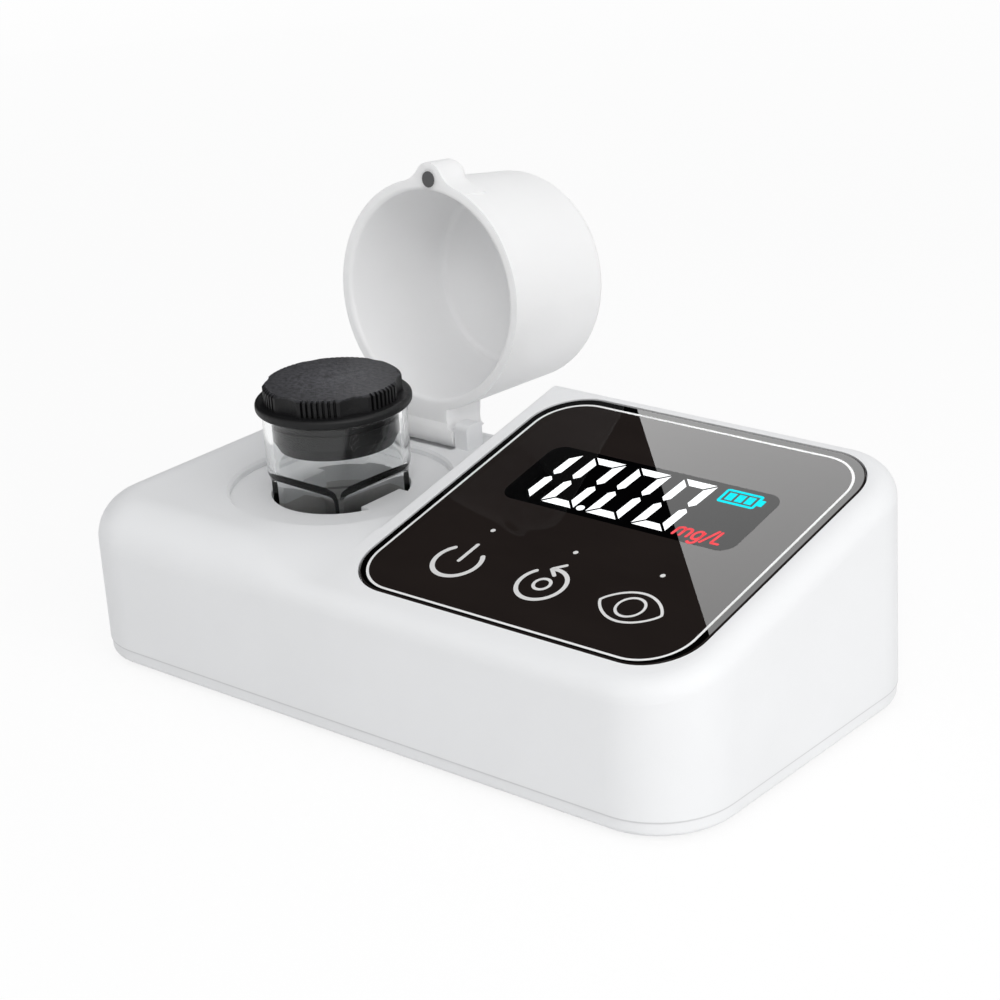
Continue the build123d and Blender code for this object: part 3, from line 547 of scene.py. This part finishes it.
def cell_finish():
    """AA cell: printed sleeve with a light band at one end, split along the cell by its X place."""
    material, tree, shader = blank("cell_finish")
    low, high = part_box("battery_cells")
    along = carried(tree, place_along(tree, "X"), (low[0], high[0]))
    ramp = add_node(tree, "ShaderNodeValToRGB", {"Fac": along})
    ramp.color_ramp.interpolation = "CONSTANT"
    sleeve, end_band = ramp.color_ramp.elements
    sleeve.color = (0.02, 0.05, 0.09, 1)
    end_band.color = (0.55, 0.56, 0.58, 1)
    end_band.position = 0.7
    fine = noise(tree, scale=900.0, detail=2.0)
    finish = {
        "Base Color": ramp.outputs["Color"],
        "Roughness": carried(tree, fine, target=(0.25, 0.35)),
    }
    feed(tree, shader, finish)
    return material


def paint_seam_shade(material):
    """Paints shade on a plastic round the seam between shell and base, less with its distance.

    The painted shade stands for the shadow in the seam's gap. Its share is 1 up to a third of
    SEAM_REACH from the seam and falls evenly to 0 at SEAM_REACH.
    """
    tree = material.node_tree
    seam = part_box("upper_housing")[0][2]
    away = maths(tree, "ABSOLUTE", maths(tree, "SUBTRACT", place_along(tree, "Z"), seam))
    near = carried(tree, away, (SEAM_REACH / 3, SEAM_REACH), (1.0, 0.0))
    lay_over(material, near, SEAM_SHADE_TONE)
    return material


def dress(material, *nodes):
    """Gives CAD nodes one material."""
    for node in nodes:
        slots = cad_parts[node].data.materials
        slots.clear()
        slots.append(material)


# Settings that a user would change


class HousingSettings(bpy.types.PropertyGroup):
    """Colours of the plastic pieces"""

    shell: bpy.props.FloatVectorProperty(
        name="Shell colour", description="White of the moulded shell and the lid", subtype="COLOR",
        default=(0.86, 0.865, 0.875), min=0, max=1,
    )
    lid: bpy.props.FloatVectorProperty(
        name="Lid colour", description="White of the lid, which lets a little light through",
        subtype="COLOR", default=(0.92, 0.92, 0.925), min=0, max=1,
    )
    stopper: bpy.props.FloatVectorProperty(
        name="Stopper colour", description="Black of the stopper", subtype="COLOR",
        default=(0.0040, 0.0040, 0.0045), min=0, max=1,
    )
    well: bpy.props.FloatVectorProperty(
        name="Well colour", description="Black of the sample well", subtype="COLOR",
        default=(0.022, 0.021, 0.020), min=0, max=1,
    )
    # Painted light: this grey stands for the light that falls into the well's mouth
    well_mouth_painted_light: bpy.props.FloatVectorProperty(
        name="Well mouth colour", description="Grey of the sample well at its mouth",
        subtype="COLOR", default=(0.62, 0.61, 0.60), min=0, max=1,
    )


class SignSettings(bpy.types.PropertyGroup):
    """Colours and places of what is printed on the glass"""

    print_colour: bpy.props.FloatVectorProperty(
        name="Print colour", description="Grey white of the printed signs", subtype="COLOR",
        default=(0.74, 0.735, 0.73), min=0, max=1,
    )
    border_colour: bpy.props.FloatVectorProperty(
        name="Border colour", description="White of the border line", subtype="COLOR",
        default=(0.86, 0.86, 0.86), min=0, max=1,
    )
    border_width: bpy.props.FloatProperty(
        name="Border width", description="Width of the border line",
        unit="LENGTH", default=0.52 * MM,
    )
    border_inset: bpy.props.FloatProperty(
        name="Border inset", description="From the glass edge to the border line",
        unit="LENGTH", default=1.8 * MM,
    )
    border_back_inset: bpy.props.FloatProperty(
        name="Border back inset", description="From the back edge of the glass to the border line",
        unit="LENGTH", default=2.0 * MM,
    )
    border_front_inset: bpy.props.FloatProperty(
        name="Border front inset", description="From the front edge of the glass to the border line",
        unit="LENGTH", default=0.85 * MM,
    )
    print_height: bpy.props.FloatProperty(
        name="Print height", description="Thickness of the print", unit="LENGTH", default=0.02 * MM
    )
    key_pitch: bpy.props.FloatProperty(
        name="Key pitch", description="Distance between two touch keys",
        unit="LENGTH", default=19.4 * MM,
    )
    key_row: bpy.props.FloatProperty(
        name="Key row", description="Touch keys' middle, down the slope from the panel's middle",
        unit="LENGTH", default=21.2 * MM,
    )


class DisplaySettings(bpy.types.PropertyGroup):
    """Colours and sizes of what is lit behind the glass"""

    window_colour: bpy.props.FloatVectorProperty(
        name="Window colour", description="Black of the display window", subtype="COLOR",
        default=(0.0012, 0.0012, 0.0014), min=0, max=1,
    )
    figure_colour: bpy.props.FloatVectorProperty(
        name="Figure colour", description="White of the lit figures", subtype="COLOR",
        default=(0.93, 0.95, 0.96), min=0, max=1,
    )
    unit_colour: bpy.props.FloatVectorProperty(
        name="Unit colour", description="Red of the lit unit sign", subtype="COLOR",
        default=(0.80, 0.085, 0.10), min=0, max=1,
    )
    charge_colour: bpy.props.FloatVectorProperty(
        name="Charge colour", description="Cyan of the lit battery sign", subtype="COLOR",
        default=(0.012, 0.72, 0.80), min=0, max=1,
    )
    digit_height: bpy.props.FloatProperty(
        name="Digit height", description="Height of one digit", unit="LENGTH", default=16.1 * MM
    )
    digit_width: bpy.props.FloatProperty(
        name="Digit width", description="Width of one digit", unit="LENGTH", default=7.6 * MM
    )
    digit_pitch: bpy.props.FloatProperty(
        name="Digit pitch", description="From one digit to the next",
        unit="LENGTH", default=10.5 * MM,
    )


class StudioSettings(bpy.types.PropertyGroup):
    """Strength of the studio's lights"""

    ambient: bpy.props.FloatProperty(
        name="Ambient light", description="Strength of the even light from all sides", default=0.62
    )
    key: bpy.props.FloatProperty(
        name="Key light", description="Power of the large lamp on the right",
        unit="POWER", default=2.0,
    )
    top: bpy.props.FloatProperty(
        name="Top light", description="Power of the large lamp overhead", unit="POWER", default=0.6
    )
    fill: bpy.props.FloatProperty(
        name="Fill light", description="Power of the lamp high in front", unit="POWER", default=1.2
    )
    glare: bpy.props.FloatProperty(
        name="Glare", description="Brightness of the card that the glass panel mirrors", default=35.5
    )


# Finishes and pieces


class ANALYZER_OT_shell_finish(bpy.types.Operator):
    """Gives the moulded shell, base, battery door and lid their satin white plastic, with painted
    shade at the seam
    """

    bl_idname = "analyzer.shell_finish"
    bl_label = "Shell finish"

    def execute(self, context):
        housing = context.scene.analyzer_housing
        satin = {"rough": (0.42, 0.52), "gloss": 0.35}
        # Painted shade in a thin line round the seam between shell and base
        white = paint_seam_shade(moulded("shell_finish", housing.shell, **satin))
        dress(white, "upper_housing", "base_cover", "battery_door")
        dress(moulded("lid_finish", housing.lid, **satin, glow=0.6), "lid_cup")
        return {"FINISHED"}


class ANALYZER_OT_vial_finish(bpy.types.Operator):
    """Gives the vial clear glass, and the stopper and well black plastic with painted light on them
    """

    bl_idname = "analyzer.vial_finish"
    bl_label = "Vial, stopper and well finish"

    def execute(self, context):
        housing = context.scene.analyzer_housing
        glass = clear("vial_glass_finish", (0.99, 0.998, 0.998), rough=(0.0, 0.02))
        dress(glass, "vial", "well_windows")
        dress(stopper_finish(housing.stopper), "vial_cap")
        dress(well_finish(housing.well, housing.well_mouth_painted_light), "sample_well")
        return {"FINISHED"}


class ANALYZER_OT_metal_finish(bpy.types.Operator):
    """Gives screws, pin, contacts and magnets their metal"""

    bl_idname = "analyzer.metal_finish"
    bl_label = "Metal finish"

    def execute(self, context):
        steel = metal("steel_finish", (0.60, 0.60, 0.61), rough=(0.22, 0.36))
        screws = ("battery_door_screw", "housing_screws", "board_screws", "well_screws")
        dress(steel, *screws, "hinge_pin")
        nickel = metal("nickel_finish", (0.72, 0.70, 0.66), rough=(0.15, 0.28))
        dress(nickel, "battery_contacts", "photodetector")
        dark = metal("magnet_finish", (0.11, 0.11, 0.112), rough=(0.35, 0.5))
        dress(dark, "deck_magnet", "lid_magnet")
        return {"FINISHED"}


class ANALYZER_OT_inner_finish(bpy.types.Operator):
    """Gives boards, chips, cells, feet, gasket, pad and lamp their finishes"""

    bl_idname = "analyzer.inner_finish"
    bl_label = "Inner pieces' finish"

    def execute(self, context):
        dress(board_finish(), "main_board", "touch_board", "light_board", "detector_board")
        chip = moulded("chip_finish", (0.018, 0.018, 0.019), (0.45, 0.6), grain=3000.0)
        dress(chip, "board_components")
        dress(cell_finish(), "battery_cells")
        rubber = {"depth": 0.04 * MM, "variation": 0.1, "strength": 0.6}
        foot = moulded("foot_finish", (0.02, 0.02, 0.02), (0.7, 0.85), grain=1800.0, **rubber)
        dress(foot, "rubber_feet")
        foam = moulded(
            "foam_finish", (0.03, 0.03, 0.03), (0.85, 0.95), grain=1500.0, depth=0.05 * MM,
            variation=0.2, strength=0.8,
        )
        dress(foam, "panel_gasket")
        pad = moulded("pad_finish", (0.03, 0.03, 0.03), (0.75, 0.9), grain=1500.0, **rubber)
        dress(pad, "well_pad")
        dress(clear("lamp_finish", (0.9, 0.93, 0.97), rough=(0.05, 0.07)), "light_source")
        return {"FINISHED"}


class ANALYZER_OT_glass_finish(bpy.types.Operator):
    """Gives the touch glass its black gloss and the display behind it its finish"""

    bl_idname = "analyzer.glass_finish"
    bl_label = "Glass finish"

    def execute(self, context):
        low, high = (0.0150, 0.0115, 0.0105), (0.0172, 0.0132, 0.0120)
        wiped = {"scale": 40.0, "detail": 5.0, "stretch": (1.0, 2.5, 1.0)}
        dress(coated("panel_glass_finish", low, high, PANEL_LEVEL, **wiped), "front_glass")
        display = moulded(
            "display_finish", (0.03, 0.032, 0.035), (0.15, 0.25), grain=500.0, variation=0.1,
            strength=0.1,
        )
        dress(display, "display_module")
        return {"FINISHED"}


class ANALYZER_OT_border_line(bpy.types.Operator):
    """Prints the thin white line round the glass and the black edge outside it"""

    bl_idname = "analyzer.border_line"
    bl_label = "Border line"

    def execute(self, context):
        signs = context.scene.analyzer_signs
        insets = (signs.border_inset, signs.border_front_inset, signs.border_back_inset)
        side, front, back = (inset / MM for inset in insets)
        low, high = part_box("front_glass")
        glass_width, glass_length = (high[0] - low[0]) / MM, PANEL_LENGTH / MM
        width, length = glass_width - 2 * side, glass_length - front - back
        path = rounded(width, length, BORDER_RADIUS, y=(front - back) / 2, steps=24)
        border = line(path, signs.border_width / MM, signs.print_height / MM, closed=True)
        white = printed("border_finish", signs.border_colour)
        new_piece("panel_border_line", [border], white, "housing")

        edge, corner = 2 * GLASS_CHAMFER / MM, (GLASS_RADIUS - GLASS_CHAMFER) / MM
        outline = rounded(glass_width - edge, glass_length - edge, corner, steps=24)
        black = film("edge_print_finish", (0.0012, 0.0011, 0.0011), PANEL_LEVEL)
        edge_print = band(outline, path, FILM_HEIGHT)
        new_piece("panel_edge_print", [edge_print], black, "housing")
        return {"FINISHED"}


class ANALYZER_OT_key_signs(bpy.types.Operator):
    """Prints the three touch keys: power, calibrate and read, with a lamp dot over each"""

    bl_idname = "analyzer.key_signs"
    bl_label = "Key signs"

    def execute(self, context):
        signs = context.scene.analyzer_signs
        high, pitch, row = signs.print_height / MM, signs.key_pitch / MM, -signs.key_row / MM
        grey = printed("sign_finish", signs.print_colour)

        def stroke(key, path, pen, closed=False):
            """Line of one pen about the middle of a key: -1 is left, 0 middle and 1 right."""
            return line(np.asarray(path) + (key * pitch, row), pen, high, closed)

        power = [
            stroke(-1, arc(0.2, -0.2, 4.7, 4.7, start=129, end=403, steps=96), pen=0.95),
            stroke(-1, [(0.35, -0.35), (0.5, 5.8)], pen=0.8),
        ]
        new_piece("power_sign", power, grey, "housing")

        arrow = [(1.45, 6.55), (-0.75, 4.45), (1.25, 2.65)]
        calibrate = [
            stroke(0, arc(0.4, -0.1, 4.65, 4.65, start=134, end=458, steps=96), pen=0.85),
            stroke(0, oval(0.5, -0.1, 1.6, 1.6, steps=40), pen=0.65, closed=True),
            stroke(0, arrow, pen=0.75),
        ]
        new_piece("calibrate_sign", calibrate, grey, "housing")

        # An eye whose half height is half_height * (1 - t^2)^0.8 at half_width * t, t from -1 to 1
        t = np.linspace(-1, 1, 48)
        half_width, half_height = 6.6, 4.25
        lid = half_height * (1 - t**2) ** 0.8
        upper = np.stack([half_width * t, lid], 1)
        eye = np.vstack([upper[:-1], -upper[:-1]]) + (0.5, 0.25)
        read = [
            stroke(1, eye, pen=0.55, closed=True),
            stroke(1, oval(0.45, 0.25, 2.7, 2.7, steps=48), pen=0.55, closed=True),
        ]
        new_piece("read_sign", read, grey, "housing")

        dots = [oval(key * pitch + 0.2, row + 10.3, 0.5, 0.5, steps=24) for key in (-1, 0, 1)]
        lamps = [plate(dot, high) for dot in dots]
        new_piece("key_lamp_dots", lamps, grey, "housing")
        return {"FINISHED"}


class ANALYZER_OT_display_window(bpy.types.Operator):
    """Lays the black display window on the glass"""

    bl_idname = "analyzer.display_window"
    bl_label = "Display window"

    def execute(self, context):
        outline = rounded(width=52.8, length=18.8, radius=3.2, x=0.25, y=8.55)
        window = context.scene.analyzer_display.window_colour
        black = film("display_window_finish", window, WINDOW_LEVEL)
        new_piece("display_window", [plate(outline, FILM_HEIGHT)], black, "housing")
        return {"FINISHED"}


def bars(left, foot, width, height, lean):
    """Outlines of a seven-bar digit's six outer bars, which make a nought.

    Upright bars are cut slanting at the outer corners and pointed at the middle. A point at
    height y above the foot moves right by lean * y.
    """
    thick, thin, gap = 1.9, 1.8, 0.36
    middle = height / 2
    right_upper = [
        (width, middle + gap + thick / 2),
        (width - thick / 2, middle + gap),
        (width - thick, middle + gap + thick / 2),
        (width - thick, height - thin - gap),
        (width, height - gap),
    ]
    top = [
        (gap, height),
        (width - gap, height),
        (width - thick - gap, height - thin),
        (thick + gap, height - thin),
    ]
    outlines = {
        "right_upper": right_upper,
        "right_lower": [(x, height - y) for x, y in right_upper],
        "left_upper": [(width - x, y) for x, y in right_upper],
        "left_lower": [(width - x, height - y) for x, y in right_upper],
        "top": top,
        "bottom": [(x, height - y) for x, y in top],
    }
    return {
        name: np.array([(left + x + lean * y, foot + y) for x, y in outline])
        for name, outline in outlines.items()
    }


class ANALYZER_OT_display_digits(bpy.types.Operator):
    """Lights the number 10.00 in seven-bar digits"""

    bl_idname = "analyzer.display_digits"
    bl_label = "Display digits"

    def execute(self, context):
        display = context.scene.analyzer_display
        width, height, pitch = (
            v / MM for v in (display.digit_width, display.digit_height, display.digit_pitch)
        )
        first_nought, foot, lean = -17.05, 0.6, 0.07
        outlines = []
        for k in range(3):
            outlines += bars(first_nought + k * pitch, foot, width, height, lean).values()
        one = bars(first_nought - pitch + 0.15, foot, width, height, lean)
        outlines += [one["right_upper"], one["right_lower"]]
        outlines.append(oval(first_nought + (width + pitch) / 2, foot + 0.75, 0.85, 0.8, steps=24))
        digits = [plate(outline, FIGURE_HEIGHT, low=FILM_HEIGHT) for outline in outlines]
        white = lit("figure_finish", display.figure_colour, strength=0.55)
        new_piece("display_digits", digits, white, "housing")
        return {"FINISHED"}


class ANALYZER_OT_display_unit(bpy.types.Operator):
    """Lights the unit sign mg/L, drawn as leaning strokes"""

    bl_idname = "analyzer.display_unit"
    bl_label = "Display unit"

    def execute(self, context):
        left, foot, lean, pen = 13.3, 0.5, 0.12, 0.64
        arch = arc(0.75, 1.75, 0.75, 0.85, start=160, end=0, steps=20)
        hook = arc(4.8, -0.3, 0.8, 0.85, start=-5, end=-160, steps=24)
        strokes = [
            [(0.0, 0.0), (0.0, 2.6)],
            np.vstack([[(0.0, 1.5)], arch, [(1.5, 0.0)]]),
            np.vstack([[(1.5, 1.5)], arch + (1.5, 0.0), [(3.0, 0.0)]]),
            arc(4.75, 1.35, 0.85, 1.25, start=3, end=357, steps=40),
            np.vstack([[(5.6, 2.6), (5.6, 0.0)], hook]),
            [(6.35, -0.5), (7.7, 4.0)],
            [(8.4, 3.9), (8.4, 0.25), (10.2, 0.25)],
        ]
        lines = []
        for x, y in (np.asarray(stroke, float).T for stroke in strokes):
            lines.append(line(np.stack([left + x + lean * y, foot + y], 1), pen, FIGURE_HEIGHT))
        unit_colour = context.scene.analyzer_display.unit_colour
        red = lit("unit_finish", unit_colour, strength=0.35, gloss=WINDOW_LEVEL)
        new_piece("display_unit", lines, red, "housing")
        return {"FINISHED"}


class ANALYZER_OT_battery_sign(bpy.types.Operator):
    """Lights the battery sign: a case, its nub and three charge bars"""

    bl_idname = "analyzer.battery_sign"
    bl_label = "Battery sign"

    def execute(self, context):
        x, y, width, length, pen, bar_pitch = 18.8, 14.65, 7.5, 3.7, 0.62, 2.1
        case = rounded(width, length, 0.25, x, y, steps=4)
        nub = rounded(1.1, 1.9, 0.2, x + width / 2 + 0.8, y, steps=4)
        charge = [rounded(1.6, 2.3, 0.1, x + k * bar_pitch, y, steps=3) for k in (-1, 0, 1)]
        parts = [line(case, pen, FIGURE_HEIGHT, closed=True)]
        parts += [plate(outline, FIGURE_HEIGHT) for outline in (nub, *charge)]
        cyan = lit("charge_finish", context.scene.analyzer_display.charge_colour, strength=0.4)
        new_piece("battery_sign", parts, cyan, "housing")
        return {"FINISHED"}


# Studio


def photo_view():
    """Place and three directions of the camera: right, up and back.

    It is turned by azimuth, elevation and roll about the middle of the housing's foot.
    """
    a, e, r = CAMERA_AZIMUTH, CAMERA_ELEVATION, CAMERA_ROLL
    back = np.array([sin(a) * cos(e), -cos(a) * cos(e), sin(e)])
    right = np.array([cos(a), sin(a), 0.0])
    up = np.cross(back, right)
    rows = np.array([cos(r) * right + sin(r) * up, -sin(r) * right + cos(r) * up, back])
    low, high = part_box("upper_housing")
    foot = np.array([(low[0] + high[0]) / 2, (low[1] + high[1]) / 2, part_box("base_cover")[0][2]])
    eye = rows[2] * CAMERA_DISTANCE - rows[0] * CAMERA_OFFSET[0] - rows[1] * CAMERA_OFFSET[1]
    return foot + CAMERA_UNIT * eye, rows


def add_camera(eye, rows):
    """The photograph's camera, whose shift puts the solved centre in its place."""
    data = bpy.data.cameras.new("photo_camera")
    data.sensor_width = SENSOR
    data.lens = CAMERA_FOCAL * SENSOR / IMAGE_SIZE
    data.shift_x = (IMAGE_SIZE / 2 - CAMERA_CENTRE[0]) / IMAGE_SIZE
    data.shift_y = (CAMERA_CENTRE[1] - IMAGE_SIZE / 2) / IMAGE_SIZE
    data.clip_start, data.clip_end = CAMERA_CLIP
    camera = add_object("photo_camera", data)
    camera.matrix_world = Matrix.Translation(eye) @ Matrix(rows.T.tolist()).to_4x4()
    bpy.context.scene.camera = camera


def add_lamp(name, place, aim, size, power, colour):
    """Soft lamp at a place, turned towards its aim."""
    data = bpy.data.lights.new(name, "AREA")
    data.shape = "RECTANGLE"
    data.size, data.size_y = size
    data.energy = power
    data.color = colour
    back = np.array(place) - np.array(aim)
    back /= np.linalg.norm(back)
    side = np.cross([0.0, 0.0, 1.0], back)
    side /= np.linalg.norm(side)
    turn = Matrix(np.stack([side, np.cross(back, side), back], 1).tolist()).to_4x4()
    add_object(name, data).matrix_world = Matrix.Translation(place) @ turn


def add_surround(ambient):
    """World of an even light, which is plain white where it is seen directly or mirrored."""
    world = bpy.data.worlds.new("studio_world")
    bpy.context.scene.world = world
    world.use_nodes = True
    tree = world.node_tree
    even = tree.nodes["Background"]
    feed(tree, even, {"Color": (0.99, 0.995, 1.0, 1), "Strength": ambient})
    white = add_node(tree, "ShaderNodeBackground", {"Color": (1, 1, 1, 1)})
    surround = blend_shaders(tree, seen_by(tree, DIRECT_RAYS), even.outputs[0], white.outputs[0])
    feed(tree, tree.nodes["World Output"], {"Surface": surround})


def add_sheet(name, corners, material):
    """Four-cornered sheet of the stage."""
    mesh = bpy.data.meshes.new(name)
    mesh.from_pydata([tuple(corner) for corner in corners], [], [(0, 1, 2, 3)])
    mesh.materials.append(material)
    sheet = add_object(name, mesh)


def add_floor():
    """Pale floor that keeps the shadow and turns white with the distance.

    For direct rays a lit and a shining floor are mixed, by a share that grows over FLOOR_FADE from
    FLOOR_SHARE's first value to its second. For other rays the floor is lit, and all but the
    camera's find it a little darker.
    """
    material, tree, shader = blank("floor_finish")
    cloud = noise(tree, scale=3.0, detail=2.0)
    pale = tinted(tree, cloud, (0.93, 0.93, 0.93), (0.95, 0.95, 0.95))
    colour = blend(tree, seen_by(tree, ["Is Camera Ray"]), (*FLOOR_BOUNCE, 1), pale)
    feed(tree, shader, {"Base Color": colour, "Roughness": 0.9})
    away = add_node(tree, "ShaderNodeVectorMath", {0: object_place(tree)}, operation="LENGTH")
    growing = carried(tree, away.outputs["Value"], FLOOR_FADE, FLOOR_SHARE)
    share = maths(tree, "MULTIPLY", seen_by(tree, DIRECT_RAYS), growing)
    shine = add_node(tree, "ShaderNodeEmission", {"Strength": FLOOR_STRENGTH})
    surface = blend_shaders(tree, share, shader.outputs[0], shine.outputs[0])
    feed(tree, tree.nodes["Material Output"], {"Surface": surface})
    signs = ((-1, -1), (1, -1), (1, 1), (-1, 1))
    add_sheet("floor", [(FLOOR_HALF * x, FLOOR_HALF * y, FLOOR_LEVEL) for x, y in signs], material)


def add_card(name, corners, strength):
    """Card that only mirrored rays see: it shines for glossy rays and is clear for all others."""
    material, tree, shader = blank(name + "_finish")
    tree.nodes.remove(shader)
    through = tree.nodes.new("ShaderNodeBsdfTransparent")
    shine = add_node(tree, "ShaderNodeEmission", {"Strength": strength})
    seen = seen_by(tree, ["Is Glossy Ray"])
    surface = blend_shaders(tree, seen, through.outputs[0], shine.outputs[0])
    feed(tree, tree.nodes["Material Output"], {"Surface": surface})
    add_sheet(name, corners, material)


def add_glare_cards(eye, strength):
    """A bright and a dark card whose common edge the panel mirrors along the glare's edge.

    Each end of the edge is sent to the card plane by reflection: r = 2 (n . v) n - v.
    """
    middle, _, _, normal = panel_axes()

    def mirrored(point):
        towards = eye - point
        towards = towards / np.linalg.norm(towards)
        return 2 * (normal @ towards) * normal - towards

    main = mirrored(middle)
    centre = middle + CARD_DISTANCE * main

    def cast(x, y):
        point = on_panel(np.array([x, y, 0.0]))
        ray = mirrored(point)
        return point + ray * ((centre - point) @ main) / (ray @ main)

    start, end = cast(*GLARE_START), cast(*GLARE_END)
    along = (end - start) / np.linalg.norm(end - start)
    bright_way = cast(*GLARE_SIDE) - start
    across = bright_way - (bright_way @ along) * along
    across /= np.linalg.norm(across)
    low, high = start - CARD_MARGIN * along, end + CARD_MARGIN * along
    deep = GLARE_CARD_DEPTH * across
    add_card("glare_card", [low, high, high + deep, low + deep], strength)
    low, high = start - DARK_CARD_REACH * along, end + DARK_CARD_REACH * along
    deep = DARK_CARD_REACH * across
    add_card("dark_card", [low, high, high - deep, low - deep], DARK_CARD_STRENGTH)


class ANALYZER_OT_stage(bpy.types.Operator):
    """Sets the pale floor, white surround, soft lamps, mirror cards and the photograph's camera"""

    bl_idname = "analyzer.stage"
    bl_label = "Stage"

    def execute(self, context):
        studio = context.scene.analyzer_studio
        eye, rows = photo_view()
        add_camera(eye, rows)
        add_surround(studio.ambient)
        add_floor()
        middle, vial = (0.0, 0.0, 0.03), (-0.03, 0.02, 0.04)
        warm, cool, white = (1.0, 0.995, 0.985), (0.99, 0.995, 1.0), (1.0, 1.0, 1.0)
        add_lamp("key_lamp", (0.75, -0.15, 0.40), middle, (0.6, 0.5), studio.key, warm)
        add_lamp("top_lamp", (-0.35, 0.10, 1.0), middle, (0.8, 0.8), studio.top, cool)
        add_lamp("front_lamp", (0.42, -0.50, 0.55), vial, (0.25, 0.25), studio.fill, white)
        add_glare_cards(eye, studio.glare)
        context.scene.view_settings.view_transform = "Standard"
        return {"FINISHED"}


class ANALYZER_PT_panel(bpy.types.Panel):
    """Lists the settings and the operators"""

    bl_label = "Water analyzer"
    bl_idname = "ANALYZER_PT_panel"
    bl_space_type = "VIEW_3D"
    bl_region_type = "UI"
    bl_category = "Analyzer"

    def draw(self, context):
        for key in GROUPS:
            group = getattr(context.scene, key)
            for name in group.bl_rna.properties.keys():
                if name not in ("rna_type", "name"):
                    self.layout.prop(group, name)
        for operator in OPERATORS:
            self.layout.operator(operator.bl_idname)


GROUPS = {
    "analyzer_housing": HousingSettings,
    "analyzer_signs": SignSettings,
    "analyzer_display": DisplaySettings,
    "analyzer_studio": StudioSettings,
}
OPERATORS = (
    ANALYZER_OT_shell_finish,
    ANALYZER_OT_vial_finish,
    ANALYZER_OT_metal_finish,
    ANALYZER_OT_inner_finish,
    ANALYZER_OT_glass_finish,
    ANALYZER_OT_border_line,
    ANALYZER_OT_key_signs,
    ANALYZER_OT_display_window,
    ANALYZER_OT_display_digits,
    ANALYZER_OT_display_unit,
    ANALYZER_OT_battery_sign,
    ANALYZER_OT_stage,
)


def register():
    """Registers the settings, the operators and the panel."""
    for name, group in GROUPS.items():
        bpy.utils.register_class(group)
        setattr(bpy.types.Scene, name, bpy.props.PointerProperty(type=group))
    for operator in OPERATORS:
        bpy.utils.register_class(operator)
    bpy.utils.register_class(ANALYZER_PT_panel)


def unregister():
    """Takes back what register did, in reverse."""
    bpy.utils.unregister_class(ANALYZER_PT_panel)
    for operator in reversed(OPERATORS):
        bpy.utils.unregister_class(operator)
    for name, group in GROUPS.items():
        delattr(bpy.types.Scene, name)
        bpy.utils.unregister_class(group)


def main():
    """Runs every operator in order."""
    register()
    for operator in OPERATORS:
        group, name = operator.bl_idname.split(".")
        getattr(getattr(bpy.ops, group), name)()
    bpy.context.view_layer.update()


if __name__ == "__main__":
    main()
